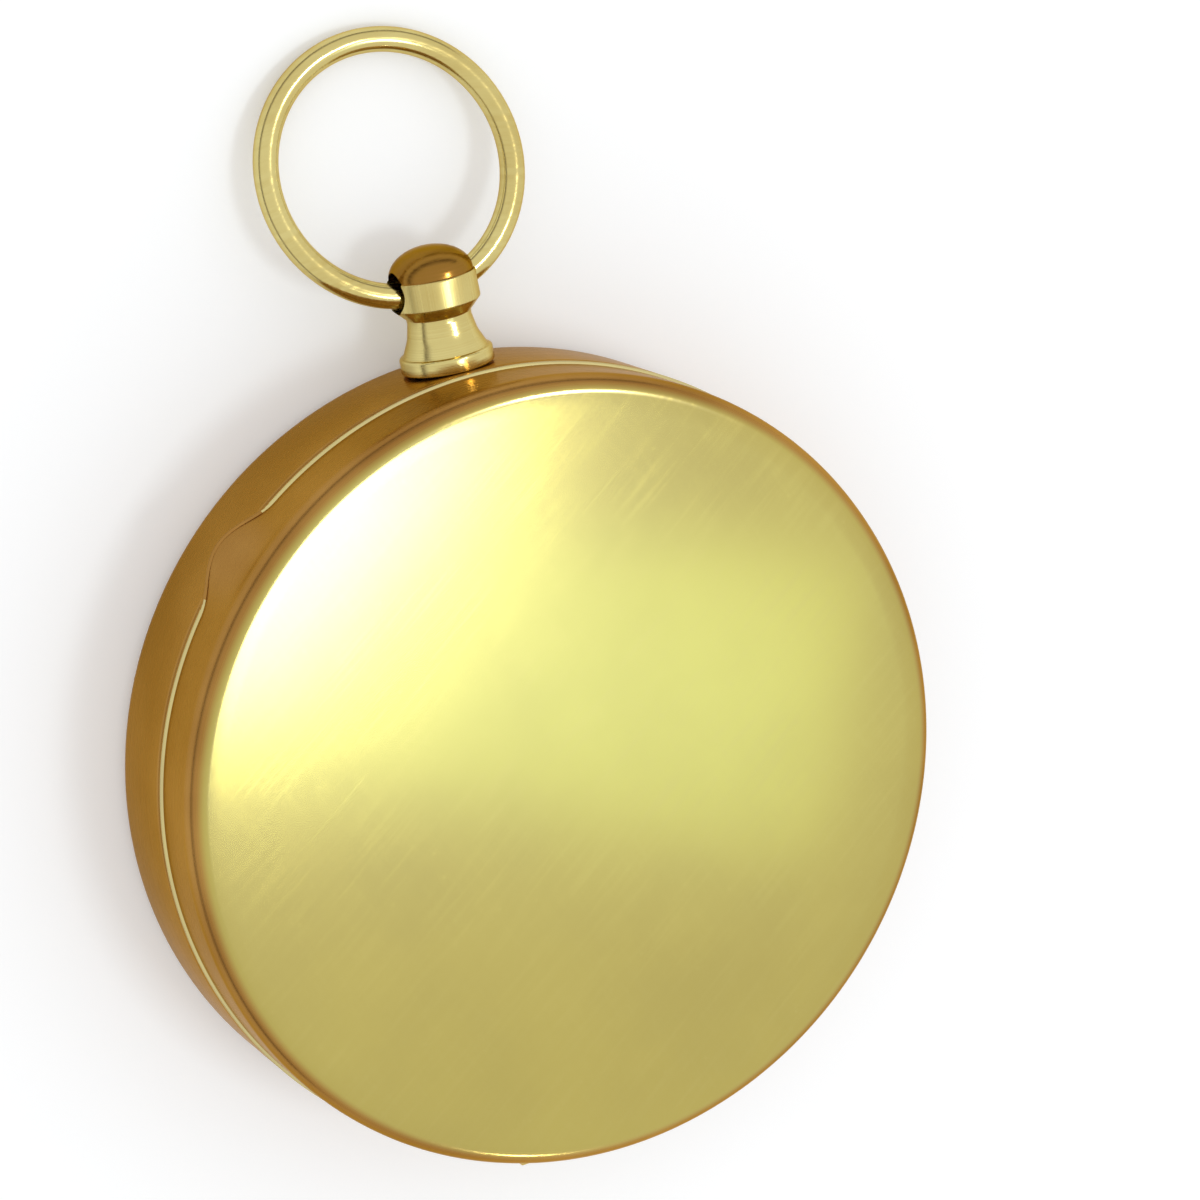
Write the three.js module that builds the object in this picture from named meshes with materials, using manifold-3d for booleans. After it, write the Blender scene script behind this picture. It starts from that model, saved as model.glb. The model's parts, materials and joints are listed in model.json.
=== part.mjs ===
// Pocket compass in a hinged brass case, closed and lying on its back.
// Millimetres. +Z up through the lid, +Y towards the pendant and its ring, -Y towards the hinge.
// The origin is the middle of the flat case back.
import * as THREE from "three";
import { mergeVertices } from "three/addons/utils/BufferGeometryUtils.js";
import Module from "manifold-3d";

const wasm = await Module();
wasm.setup();
const MERGE = 1e-4; // vertices closer than this are one

// Clearances
const SOLDER_GAP = 0.05; // between a soldered or glued piece and its seat
const SLIP_GAP = 0.1; // between pieces that move past each other
const SEAT_GAP = 0.02; // between two faces that rest on each other

// Case, pressed from sheet brass
const CASE_R = 25;
const WALL = 0.65;
const SEAM_Z = 7.8;
const BACK_FILLET = 1.6;
const SHOULDER_FILLET = 0.35;
const LIP_H = 0.7; // the lid closes over this lip
const LIP_T = 0.6;
const LIP_CHAMFER = 0.15;
const STEP_T = 0.45; // metal under the shoulder
const STEP_DROP = 1; // from the seam to where the inside of the wall is straight
const FLOOR_Z = WALL;
const CASE_INNER_R = CASE_R - WALL;
const LIP_R = CASE_INNER_R - SLIP_GAP;
const LIP_INNER_R = LIP_R - LIP_T;
const LIP_TOP_Z = SEAM_Z + LIP_H;

// Lid
const LID_H = 5.25; // from the seam to where the edge fillet meets the crown
const LID_CROWN = 0.45; // rise of the crown to the middle of the lid
const LID_FILLET = 1.2;
const RIM_CHAMFER = 0.2;
const LID_EDGE_Z = SEAM_Z + LID_H;
const LID_RIM_Z = SEAM_Z + SOLDER_GAP;

// Thumb lip flared out of the lid's rim
const THUMB_ANGLE = 43.2; // degrees from the pendant, towards -X
const THUMB_WIDTH = 7.4;
const THUMB_OUT = 1.15;
const THUMB_EDGE = 0.4; // thickness at the edge
const THUMB_LAND = 0.1; // flat top of the edge
const THUMB_FADE = 1.5; // how fast the lip fades into the wall

// Hinge
const HINGE_IN = 0.3; // from the outside of the wall to the pin
const HINGE_WIDTH = 13;
const HINGE_MIDDLE = 7.6; // width of the lid's knuckle
const KNUCKLE_R = 0.85;
const HINGE_PLAY = 0.35; // between a knuckle and the wall that turns round it
const PIN_R = 0.4;
const PIN_OUT = 0.15; // how far each pin end stands out of its knuckle
const HINGE_Y = -(CASE_R - HINGE_IN);
const HINGE_NOTCH_R = KNUCKLE_R + HINGE_PLAY;

// Pendant, turned from rod, and its nut. Distances S run outwards from the case wall.
const TURNED_EDGE = 0.1; // broken edges of the turned knob
const SHANK_R = 1.2;
const FLANGE_R = 2.9;
const FLANGE_T = 0.95;
const BELL_R = 2.75;
const BELL_CURVE = 1.6; // how hollow the bell is
const NECK_R = 2;
const NECK_S = 3.15;
const BAND_R = 2.75;
const BAND_LOW_S = 4.05;
const BAND_HIGH_S = 5.75;
const KNOB_TIP_S = 7.6;
const NUT_R = 2.2;
const NUT_T = 1.4;
const NUT_SET = 0.15; // the flat nut stands off the curved wall at its middle
const THREAD_END = 0.1; // thread past the nut
const PENDANT_Z = (BACK_FILLET + SEAM_Z - SHOULDER_FILLET) / 2;

// Ring of round wire in the pendant's cross bore
const BOW_R = 7.88; // to the middle of the wire
const BOW_WIRE_R = 0.78;
const BOW_SEAT = 0.35; // the wire lies this far from the bore's middle, towards the case
const BOW_LEAN = 4.5; // degrees that the ring leans in its own plane, towards -X
const BORE_PLAY = 0.52;
const BORE_S = 5.15;
const BORE_R = BOW_WIRE_R + BORE_PLAY;

// Capsule with its dial and crystal
const PAD_T = 0.3;
const CAPSULE_R = 18.4;
const CAPSULE_WALL = 0.8;
const CAPSULE_FOOT_R = 13; // inside of the foot ring
const CAPSULE_FOOT_H = 1.25;
const CAPSULE_FLOOR_T = 1;
const CAPSULE_FLANGE_T = 0.7;
const FLANGE_PLAY = 0.35; // between the flange and the case's lip
const FLANGE_OVER_LIP = 0.15;
const CAPSULE_NECK_H = 1.35; // above the flange
const DIAL_PLAY = 0.15;
const DIAL_T = 0.35;
const CRYSTAL_OVER = 0.55; // overhang that holds the bezel down
const CRYSTAL_T = 1;
const CRYSTAL_BEVEL = 0.3;
const CAPSULE_INNER_R = CAPSULE_R - CAPSULE_WALL;
const CAPSULE_FOOT_Z = FLOOR_Z + PAD_T;
const CAPSULE_FLOOR_LOW_Z = CAPSULE_FOOT_Z + CAPSULE_FOOT_H;
const CAPSULE_FLOOR_Z = CAPSULE_FLOOR_LOW_Z + CAPSULE_FLOOR_T;
const CAPSULE_FLANGE_R = LIP_INNER_R - FLANGE_PLAY;
const CAPSULE_FLANGE_Z = LIP_TOP_Z + FLANGE_OVER_LIP; // the bezel turns on this face
const CAPSULE_TOP_Z = CAPSULE_FLANGE_Z + CAPSULE_NECK_H;
const DIAL_R = CAPSULE_INNER_R - DIAL_PLAY;
const DIAL_Z = CAPSULE_FLOOR_Z + DIAL_T;
const CRYSTAL_R = CAPSULE_R + CRYSTAL_OVER;

// Bezel: a clear ring with grip lugs and a grey scale ring let into its sloping face
const BEZEL_PLAY = 0.45; // between the lugs and the inside of the lid
const BEZEL_BORE_PLAY = 0.15;
const LUGS = 36;
const LUG_OUT = 0.5;
const LUG_RISE = 0.05; // above the edge of the scale ring
const LUG_SHARE = 0.35; // part of the pitch that a lug takes
const LUG_FOOT = 1.15; // how much wider a lug is at its foot
const LUG_CHAMFER = 0.15;
const BEZEL_BORDER = 0.25; // clear border outside the scale ring
const BEZEL_RIM = 0.25; // clear rim inside the scale ring
const BEZEL_SLOPE = 13; // degrees that the face falls outwards
const BEZEL_RECESS = 0.3;
const FACE_RISE = 0.6; // inner edge of the face above the capsule
const BEZEL_R = CASE_INNER_R - BEZEL_PLAY;
const BEZEL_ROOT_R = BEZEL_R - LUG_OUT;
const BEZEL_SCALE_R = BEZEL_ROOT_R - BEZEL_BORDER;
const BEZEL_BORE_R = CAPSULE_R + BEZEL_BORE_PLAY;
const BEZEL_FACE_R = CRYSTAL_R + BEZEL_BORE_PLAY;
const BEZEL_Z = CAPSULE_FLANGE_Z + SLIP_GAP;
const BEZEL_LEDGE_Z = CAPSULE_TOP_Z - BEZEL_BORE_PLAY;
const BEZEL_FACE_Z = CAPSULE_TOP_Z + FACE_RISE;

// Pivot and needle
const POST_R = 0.4;
const POST_POINT = 1.05; // length of the pointed end
const POST_SET = 0.1; // foot above the underside of the capsule floor
const BUSH_R = 0.8;
const BUSH_FLANGE_R = 1.5;
const BUSH_FLANGE_T = 0.25;
const BUSH_TOP_R = 1.1;
const BUSH_T = 0.55;
const NEEDLE_LIFT = 3.7; // above the dial
const NEEDLE_T = 0.3;
const NEEDLE_EYE_R = 1.15;
const NEEDLE_HUB_R = 2.8;
const NEEDLE_TIP = 13.2;
const NEEDLE_HEAD = 3.4; // length of the arrow head
const NEEDLE_HEAD_W = 2.9;
const NEEDLE_BARB = 0.6;
const NEEDLE_ARM_W = 1.5;
const NEEDLE_END_W = 1; // each arm at its end
const NEEDLE_TAIL = 12.6; // to the tips of the crescent
const NEEDLE_ANGLE = -110.6; // degrees from +X, the way the arrow points
const TAIL_R = 1.8;
const TAIL_THICK = 0.75;
const CAP_R = 1.8;
const CAP_EDGE = 0.42;
const CAP_CONE_R = 0.75;
const CAP_CROWN = 0.75; // above the point of the post
const POINT_RISE = 0.4; // point of the post above the blade
const COLLAR_R = 1.7;
const COLLAR_T = 0.28;
const POST_FOOT_Z = CAPSULE_FLOOR_LOW_Z + POST_SET;
const NEEDLE_Z = DIAL_Z + NEEDLE_LIFT;
const POST_TIP_Z = NEEDLE_Z + NEEDLE_T + POINT_RISE;
const CAP_TOP_Z = POST_TIP_Z + CAP_CROWN;
const CAP_FOOT_Z = NEEDLE_Z - SEAT_GAP - COLLAR_T;

const LARGE = 60; // segments of the large turned pieces
const SMALL = 32; // segments of the small ones
const TINY = 16; // segments of pins and bores
const BRASS = "#c8b45f";
const BRASS_WARM = "#b98f48";
const BLACK = "#161616";

const rad = (deg) => (deg * Math.PI) / 180;

// Points of an arc in a profile, from one angle to another.
function arc(r, z, radius, from, to, steps) {
  const points = [];
  for (let i = 0; i <= steps; i++) {
    const a = rad(from + ((to - from) * i) / steps);
    points.push([r + radius * Math.cos(a), z + radius * Math.sin(a)]);
  }
  return points;
}

// A solid of revolution about Z, from a profile of radius and height that runs with the solid on its left.
function turned(profile, segments = LARGE) {
  const points = profile.map(([r, z]) => new THREE.Vector2(r, z));
  const geometry = new THREE.LatheGeometry(points, segments);
  geometry.rotateX(Math.PI / 2);
  return geometry;
}

// A closed ring profile repeats its first point.
function ring(profile, segments = LARGE) {
  return turned([...profile, profile[0]], segments);
}

// A plain rod along X through a point of the YZ plane.
function rodX(radius, from, to, y, z, segments = SMALL) {
  const geometry = new THREE.CylinderGeometry(radius, radius, to - from, segments);
  geometry.rotateZ(Math.PI / 2);
  geometry.translate((from + to) / 2, y, z);
  return geometry;
}

// A plain rod along Z, between two heights.
function rodZ(radius, from, to, segments = SMALL) {
  const geometry = new THREE.CylinderGeometry(radius, radius, to - from, segments);
  geometry.rotateX(Math.PI / 2);
  geometry.translate(0, 0, (from + to) / 2);
  return geometry;
}

// A geometry as a solid that can be joined and cut.
function solid(geometry) {
  const bare = new THREE.BufferGeometry();
  const flat = geometry.index ? geometry.toNonIndexed() : geometry;
  bare.setAttribute("position", flat.getAttribute("position"));
  const merged = mergeVertices(bare, MERGE);
  const index = merged.index.array;
  const kept = [];
  for (let i = 0; i < index.length; i += 3) {
    const [a, b, c] = index.slice(i, i + 3);
    if (a !== b && b !== c && a !== c) kept.push(a, b, c);
  }
  const mesh = new wasm.Mesh({
    numProp: 3,
    vertProperties: merged.attributes.position.array,
    triVerts: new Uint32Array(kept),
  });
  return new wasm.Manifold(mesh);
}

// The geometry of a joined or cut solid.
function shape(made) {
  const mesh = made.getMesh();
  const geometry = new THREE.BufferGeometry();
  geometry.setAttribute("position", new THREE.BufferAttribute(mesh.vertProperties, 3));
  geometry.setIndex(new THREE.BufferAttribute(mesh.triVerts, 1));
  return geometry;
}

// Adds one sub-part to its group.
function piece(parent, name, geometry, color, roughness, metalness, opacity = 1) {
  const flat = geometry.index ? geometry.toNonIndexed() : geometry;
  flat.computeVertexNormals();
  const transparent = opacity < 1;
  const material = new THREE.MeshStandardMaterial({ color, roughness, metalness, opacity, transparent });
  const mesh = new THREE.Mesh(flat, material);
  mesh.name = name;
  parent.add(mesh);
}

// Groups that move as one. The pendant group's own Z points out of the case wall.
const compass = new THREE.Group();
const fixed = new THREE.Group();
const pendant = new THREE.Group();
const lid = new THREE.Group();
const bezel = new THREE.Group();
const needle = new THREE.Group();
const bow = new THREE.Group();
compass.add(fixed, lid, bezel, needle, bow);
fixed.add(pendant);
pendant.position.set(0, CASE_R, PENDANT_Z);
pendant.rotation.x = -Math.PI / 2;
needle.rotation.z = rad(NEEDLE_ANGLE);

// Hinge: a round notch through both walls, filled by three knuckles on one pin.
// Each knuckle is a barrel with a web that takes the place of the wall it is soldered to.
const hingeReach = HINGE_WIDTH / 2 + SLIP_GAP;
const hingeNotch = solid(rodX(HINGE_NOTCH_R, -hingeReach, hingeReach, HINGE_Y, SEAM_Z));
const webReach = HINGE_NOTCH_R - SOLDER_GAP;
const pinEnd = HINGE_WIDTH / 2 + PIN_OUT;
const pinBore = solid(rodX(PIN_R + SOLDER_GAP, -pinEnd, pinEnd, HINGE_Y, SEAM_Z, TINY));

function knuckle(from, to, webLow, webHigh) {
  const wallBand = ring([
    [CASE_INNER_R + SOLDER_GAP, webLow],
    [CASE_R - SOLDER_GAP, webLow],
    [CASE_R - SOLDER_GAP, webHigh],
    [CASE_INNER_R + SOLDER_GAP, webHigh],
  ]);
  const around = rodX(webReach, from, to, HINGE_Y, SEAM_Z);
  const web = solid(wallBand).intersect(solid(around));
  const barrel = solid(rodX(KNUCKLE_R, from, to, HINGE_Y, SEAM_Z));
  return shape(barrel.add(web).subtract(pinBore));
}

function addHinge() {
  const middle = HINGE_MIDDLE / 2;
  const inner = middle + SLIP_GAP;
  const outer = HINGE_WIDTH / 2;
  const low = SEAM_Z - HINGE_NOTCH_R;
  const high = SEAM_Z + HINGE_NOTCH_R;
  piece(fixed, "case_hinge_knuckle_left", knuckle(-outer, -inner, low, SEAM_Z), BRASS, 0.28, 1);
  piece(fixed, "case_hinge_knuckle_right", knuckle(inner, outer, low, SEAM_Z), BRASS, 0.28, 1);
  piece(lid, "lid_hinge_knuckle", knuckle(-middle, middle, SEAM_Z, high), BRASS, 0.28, 1);
  piece(fixed, "hinge_pin", rodX(PIN_R, -pinEnd, pinEnd, HINGE_Y, SEAM_Z, TINY), BRASS_WARM, 0.3, 1);
}

// Case: a flat-backed cup whose wall steps in to a lip for the lid, with a hole for the pendant's shank.
function addCase() {
  const innerFillet = BACK_FILLET - WALL;
  const profile = [
    [0, 0],
    ...arc(CASE_R - BACK_FILLET, BACK_FILLET, BACK_FILLET, -90, 0, 5),
    ...arc(CASE_R - SHOULDER_FILLET, SEAM_Z - SHOULDER_FILLET, SHOULDER_FILLET, 0, 90, 3),
    [LIP_R, SEAM_Z],
    [LIP_R, LIP_TOP_Z - LIP_CHAMFER],
    [LIP_R - LIP_CHAMFER, LIP_TOP_Z],
    [LIP_INNER_R, LIP_TOP_Z],
    [LIP_INNER_R, SEAM_Z - STEP_T],
    [CASE_INNER_R, SEAM_Z - STEP_DROP],
    ...arc(CASE_INNER_R - innerFillet, FLOOR_Z + innerFillet, innerFillet, 0, -90, 3),
    [0, FLOOR_Z],
  ];
  const shankHole = rodZ(SHANK_R + SOLDER_GAP, -2 * WALL, WALL);
  shankHole.rotateX(pendant.rotation.x);
  shankHole.translate(...pendant.position.toArray());
  const cup = solid(turned(profile)).subtract(hingeNotch).subtract(solid(shankHole));
  piece(fixed, "case_cup", shape(cup), BRASS, 0.25, 1);
}

// Thumb lip: the rim flared out over a short arc, hollow above, and fading into the wall at both ends.
function thumbLip() {
  const foot = CASE_R - WALL / 2;
  const flare = THUMB_OUT - THUMB_LAND;
  const landZ = LID_RIM_Z + THUMB_EDGE;
  const profile = [
    [foot, LID_RIM_Z],
    [CASE_R + THUMB_OUT - RIM_CHAMFER, LID_RIM_Z],
    [CASE_R + THUMB_OUT, LID_RIM_Z + RIM_CHAMFER],
    [CASE_R + THUMB_OUT, landZ],
    ...arc(CASE_R + flare, landZ + flare, flare, 270, 180, 4),
    [foot, landZ + flare],
  ];
  const plan = new THREE.Shape();
  plan.moveTo(-THUMB_WIDTH / 2, foot - WALL);
  plan.lineTo(THUMB_WIDTH / 2, foot - WALL);
  const steps = 16;
  for (let i = 0; i <= steps; i++) {
    const t = 0.5 - i / steps;
    const x = t * THUMB_WIDTH;
    const wall = Math.sqrt(CASE_R ** 2 - x ** 2) - SOLDER_GAP;
    plan.lineTo(x, wall + (THUMB_OUT + SLIP_GAP) * Math.cos(t * Math.PI) ** THUMB_FADE);
  }
  const blank = new THREE.ExtrudeGeometry(plan, { depth: LID_EDGE_Z, bevelEnabled: false });
  blank.rotateZ(rad(THUMB_ANGLE));
  return solid(ring(profile)).intersect(solid(blank));
}

// Lid: a crowned cap with a rounded edge and a bright bevel on its rim.
function addLid() {
  const crownR = CASE_R - LID_FILLET;
  const filletZ = LID_EDGE_Z - LID_FILLET;
  const steps = 4;
  const inside = [];
  const outside = [];
  for (let i = 0; i < steps; i++) {
    const r = (crownR * i) / steps;
    const rise = LID_CROWN * (1 - (r / crownR) ** 2);
    inside.push([r, LID_EDGE_Z - WALL + rise]);
    outside.unshift([r, LID_EDGE_Z + rise]);
  }
  const profile = [
    ...inside,
    ...arc(crownR, filletZ, LID_FILLET - WALL, 90, 0, 3),
    [CASE_INNER_R, LID_RIM_Z],
    [CASE_R - RIM_CHAMFER, LID_RIM_Z],
    [CASE_R, LID_RIM_Z + RIM_CHAMFER],
    ...arc(crownR, filletZ, LID_FILLET, 0, 90, 5),
    ...outside,
  ];
  const made = solid(turned(profile)).add(thumbLip()).subtract(hingeNotch);
  piece(lid, "lid_shell", shape(made), BRASS, 0.22, 1);
}

// Pendant: shank, flange, hollow bell, neck, banded knob and domed tip, with a cross bore for the ring.
function addPendant() {
  const nutFace = -(WALL + NUT_SET);
  const shankEnd = nutFace - NUT_T - THREAD_END;
  const bellSteps = 4;
  const bell = [];
  for (let i = 0; i <= bellSteps; i++) {
    const t = i / bellSteps;
    const flare = (BELL_R - NECK_R) * (1 - t) ** BELL_CURVE;
    bell.push([NECK_R + flare, FLANGE_T + (NECK_S - FLANGE_T) * t]);
  }
  const domeSteps = 5;
  const domeR = BAND_R - TURNED_EDGE;
  const dome = [];
  for (let i = 0; i < domeSteps; i++) {
    const a = rad((90 * i) / domeSteps);
    dome.push([domeR * Math.cos(a), BAND_HIGH_S + (KNOB_TIP_S - BAND_HIGH_S) * Math.sin(a)]);
  }
  const profile = [
    [0, shankEnd],
    [SHANK_R, shankEnd],
    [SHANK_R, SEAT_GAP],
    [FLANGE_R - TURNED_EDGE, SEAT_GAP],
    [FLANGE_R, SEAT_GAP + TURNED_EDGE],
    [FLANGE_R, FLANGE_T - TURNED_EDGE],
    [FLANGE_R - TURNED_EDGE, FLANGE_T],
    ...bell,
    [NECK_R, NECK_S + TURNED_EDGE],
    [BAND_R - TURNED_EDGE, BAND_LOW_S],
    [BAND_R, BAND_LOW_S + TURNED_EDGE],
    [BAND_R, BAND_HIGH_S - TURNED_EDGE],
    ...dome,
    [0, KNOB_TIP_S],
  ];
  const bore = rodX(BORE_R, -2 * BAND_R, 2 * BAND_R, 0, BORE_S);
  piece(pendant, "pendant", shape(solid(turned(profile, SMALL)).subtract(solid(bore))), BRASS, 0.2, 1);
  const nut = solid(rodZ(NUT_R, nutFace - NUT_T, nutFace, 6));
  const thread = solid(rodZ(SHANK_R + SOLDER_GAP, 2 * shankEnd, 0));
  piece(pendant, "pendant_nut", shape(nut.subtract(thread)), BRASS_WARM, 0.35, 1);
}

// Ring: hangs in the bore, leans a little to one side, and its far end lies on the table.
function addBow() {
  const lean = rad(BOW_LEAN);
  const reach = BOW_R * Math.cos(lean) - BOW_SEAT;
  const drop = PENDANT_Z - BOW_WIRE_R - SEAT_GAP;
  bow.position.set(0, CASE_R + BORE_S, PENDANT_Z);
  bow.rotation.x = -Math.asin(drop / (reach + BOW_R));
  const wire = new THREE.TorusGeometry(BOW_R, BOW_WIRE_R, 12, 48);
  wire.translate(-BOW_R * Math.sin(lean), reach, 0);
  piece(bow, "bow_ring", wire, BRASS, 0.2, 1);
}

// Capsule: a clear cup on a foam pad, with a flange that carries the bezel, a dial and a crystal.
function addCapsule() {
  const pad = [
    [CAPSULE_FOOT_R + SLIP_GAP, FLOOR_Z],
    [CAPSULE_R - SLIP_GAP, FLOOR_Z],
    [CAPSULE_R - SLIP_GAP, CAPSULE_FOOT_Z],
    [CAPSULE_FOOT_R + SLIP_GAP, CAPSULE_FOOT_Z],
  ];
  piece(fixed, "mounting_pad", ring(pad), "#2b2b2a", 0.95, 0);
  const eye = BUSH_R + SOLDER_GAP;
  const flangeLow = CAPSULE_FLANGE_Z - CAPSULE_FLANGE_T;
  const cup = [
    [eye, CAPSULE_FLOOR_LOW_Z],
    [CAPSULE_FOOT_R, CAPSULE_FLOOR_LOW_Z],
    [CAPSULE_FOOT_R, CAPSULE_FOOT_Z],
    [CAPSULE_R, CAPSULE_FOOT_Z],
    [CAPSULE_R, flangeLow],
    [CAPSULE_FLANGE_R, flangeLow],
    [CAPSULE_FLANGE_R, CAPSULE_FLANGE_Z],
    [CAPSULE_R, CAPSULE_FLANGE_Z],
    [CAPSULE_R, CAPSULE_TOP_Z],
    [CAPSULE_INNER_R, CAPSULE_TOP_Z],
    [CAPSULE_INNER_R, CAPSULE_FLOOR_Z],
    [eye, CAPSULE_FLOOR_Z],
  ];
  piece(fixed, "capsule_housing", ring(cup), "#dfe3e0", 0.08, 0, 0.35);
  const dial = [
    [eye, CAPSULE_FLOOR_Z],
    [DIAL_R, CAPSULE_FLOOR_Z],
    [DIAL_R, DIAL_Z],
    [eye, DIAL_Z],
  ];
  piece(fixed, "dial_plate", ring(dial), "#d9cf63", 0.6, 0);
  const crystalTop = CAPSULE_TOP_Z + CRYSTAL_T;
  const crystal = [
    [0, CAPSULE_TOP_Z],
    [CRYSTAL_R, CAPSULE_TOP_Z],
    [CRYSTAL_R, crystalTop - CRYSTAL_BEVEL],
    [CRYSTAL_R - CRYSTAL_BEVEL, crystalTop],
    [0, crystalTop],
  ];
  piece(fixed, "crystal", turned(crystal), "#eef2f0", 0.03, 0, 0.2);
}

// Plan of the bezel, with its grip lugs.
function lugPlan() {
  const pitch = (2 * Math.PI) / LUGS;
  const half = (pitch * LUG_SHARE) / 2;
  const far = BEZEL_R + SLIP_GAP;
  const points = [];
  for (let i = 0; i < LUGS; i++) {
    const corners = [
      [BEZEL_ROOT_R, -half * LUG_FOOT],
      [far, -half],
      [far, half],
      [BEZEL_ROOT_R, half * LUG_FOOT],
    ];
    for (const [r, turn] of corners) {
      const a = i * pitch + turn;
      points.push(new THREE.Vector2(r * Math.cos(a), r * Math.sin(a)));
    }
  }
  return new THREE.Shape(points);
}

// Bezel: a clear lugged ring, held down by the crystal's overhang, and its sloping grey scale ring.
function addBezel() {
  const face = (r) => BEZEL_FACE_Z - (r - BEZEL_FACE_R) * Math.tan(rad(BEZEL_SLOPE));
  const rimR = BEZEL_FACE_R + BEZEL_RIM;
  const lugTop = face(BEZEL_SCALE_R) + LUG_RISE;
  const profile = [
    [BEZEL_BORE_R, BEZEL_Z],
    [BEZEL_R, BEZEL_Z],
    [BEZEL_R, lugTop - LUG_CHAMFER],
    [BEZEL_R - LUG_CHAMFER, lugTop],
    [BEZEL_SCALE_R, lugTop],
    [BEZEL_SCALE_R, face(BEZEL_SCALE_R) - BEZEL_RECESS],
    [rimR, face(rimR) - BEZEL_RECESS],
    [rimR, BEZEL_FACE_Z],
    [BEZEL_FACE_R, BEZEL_FACE_Z],
    [BEZEL_FACE_R, BEZEL_LEDGE_Z],
    [BEZEL_BORE_R, BEZEL_LEDGE_Z],
  ];
  const blank = new THREE.ExtrudeGeometry(lugPlan(), { depth: BEZEL_FACE_Z, bevelEnabled: false });
  blank.translate(0, 0, SLIP_GAP);
  const made = solid(ring(profile, 2 * LUGS)).intersect(solid(blank));
  piece(bezel, "bezel_ring", shape(made), "#c9cbc8", 0.12, 0, 0.5);
  const inner = rimR + SOLDER_GAP;
  const outer = BEZEL_SCALE_R - SOLDER_GAP;
  const thick = BEZEL_RECESS - SEAT_GAP;
  const scale = [
    [inner, face(inner) - thick],
    [outer, face(outer) - thick],
    [outer, face(outer)],
    [inner, face(inner)],
  ];
  piece(bezel, "bezel_scale_ring", ring(scale), "#83837e", 0.45, 0.2);
}

// Pivot: a flanged bush through the dial and the capsule floor, with a pointed steel post.
function addPivot() {
  const bore = POST_R + SEAT_GAP;
  const flangeLow = DIAL_Z + SEAT_GAP;
  const bush = [
    [bore, POST_FOOT_Z],
    [BUSH_R, POST_FOOT_Z],
    [BUSH_R, flangeLow],
    [BUSH_FLANGE_R, flangeLow],
    [BUSH_FLANGE_R, flangeLow + BUSH_FLANGE_T],
    [BUSH_TOP_R, flangeLow + BUSH_T],
    [bore, flangeLow + BUSH_T],
  ];
  piece(fixed, "pivot_bush", ring(bush, SMALL), BRASS_WARM, 0.35, 1);
  const post = [
    [0, POST_FOOT_Z],
    [POST_R, POST_FOOT_Z],
    [POST_R, POST_TIP_Z - POST_POINT],
    [0, POST_TIP_Z],
  ];
  piece(fixed, "pivot_post", turned(post, TINY), "#b8babb", 0.25, 1);
}

// Plan of the needle along X: arrow head, arms, round hub with its eye, and a crescent that opens backwards.
function needlePlan() {
  const headFoot = NEEDLE_TIP - NEEDLE_HEAD;
  const hubTurn = Math.asin(NEEDLE_ARM_W / 2 / NEEDLE_HUB_R);
  const tailTurn = Math.asin(NEEDLE_END_W / 2 / TAIL_R);
  const hollow = TAIL_R - TAIL_THICK;
  const hollowR = (TAIL_R ** 2 + hollow ** 2) / (2 * hollow);
  const hollowX = -NEEDLE_TAIL + hollow - hollowR;
  const hollowTurn = Math.atan2(TAIL_R, hollowR - hollow);
  const plan = new THREE.Shape();
  plan.moveTo(NEEDLE_TIP, 0);
  plan.lineTo(headFoot, NEEDLE_HEAD_W / 2);
  plan.lineTo(headFoot + NEEDLE_BARB, NEEDLE_END_W / 2);
  plan.absarc(0, 0, NEEDLE_HUB_R, hubTurn, Math.PI - hubTurn, false);
  plan.absarc(-NEEDLE_TAIL, 0, TAIL_R, tailTurn, Math.PI / 2, false);
  plan.absarc(hollowX, 0, hollowR, hollowTurn, -hollowTurn, true);
  plan.absarc(-NEEDLE_TAIL, 0, TAIL_R, -Math.PI / 2, -tailTurn, false);
  plan.absarc(0, 0, NEEDLE_HUB_R, Math.PI + hubTurn, 2 * Math.PI - hubTurn, false);
  plan.lineTo(headFoot + NEEDLE_BARB, -NEEDLE_END_W / 2);
  plan.lineTo(headFoot, -NEEDLE_HEAD_W / 2);
  const eye = new THREE.Path();
  eye.absarc(0, 0, NEEDLE_EYE_R, 0, 2 * Math.PI, false);
  plan.holes.push(eye);
  return plan;
}

// Needle: a stamped steel blade, its cap with a conical bearing that sits on the post, and a collar below.
function addNeedle() {
  const options = { depth: NEEDLE_T, bevelEnabled: false, curveSegments: TINY / 2 };
  const blade = new THREE.ExtrudeGeometry(needlePlan(), options);
  blade.translate(0, 0, NEEDLE_Z);
  piece(needle, "needle_blade", blade, BLACK, 0.4, 0.3);
  const seat = NEEDLE_Z + NEEDLE_T + SEAT_GAP;
  const spigot = NEEDLE_EYE_R - SOLDER_GAP;
  const domeZ = seat + CAP_EDGE;
  const steps = 5;
  const dome = [];
  for (let i = 0; i < steps; i++) {
    const a = rad((90 * i) / steps);
    dome.push([CAP_R * Math.cos(a), domeZ + (CAP_TOP_Z - domeZ) * Math.sin(a)]);
  }
  const cap = [
    [0, POST_TIP_Z + SOLDER_GAP],
    [CAP_CONE_R, CAP_FOOT_Z],
    [spigot, CAP_FOOT_Z],
    [spigot, seat],
    [CAP_R, seat],
    ...dome,
    [0, CAP_TOP_Z],
  ];
  piece(needle, "needle_cap", turned(cap, SMALL), "#b9bab4", 0.15, 0.4);
  const collar = [
    [NEEDLE_EYE_R, CAP_FOOT_Z],
    [COLLAR_R, CAP_FOOT_Z],
    [COLLAR_R, NEEDLE_Z - SEAT_GAP],
    [NEEDLE_EYE_R, NEEDLE_Z - SEAT_GAP],
  ];
  piece(needle, "needle_collar", ring(collar, SMALL), BLACK, 0.4, 0.3);
}

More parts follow.
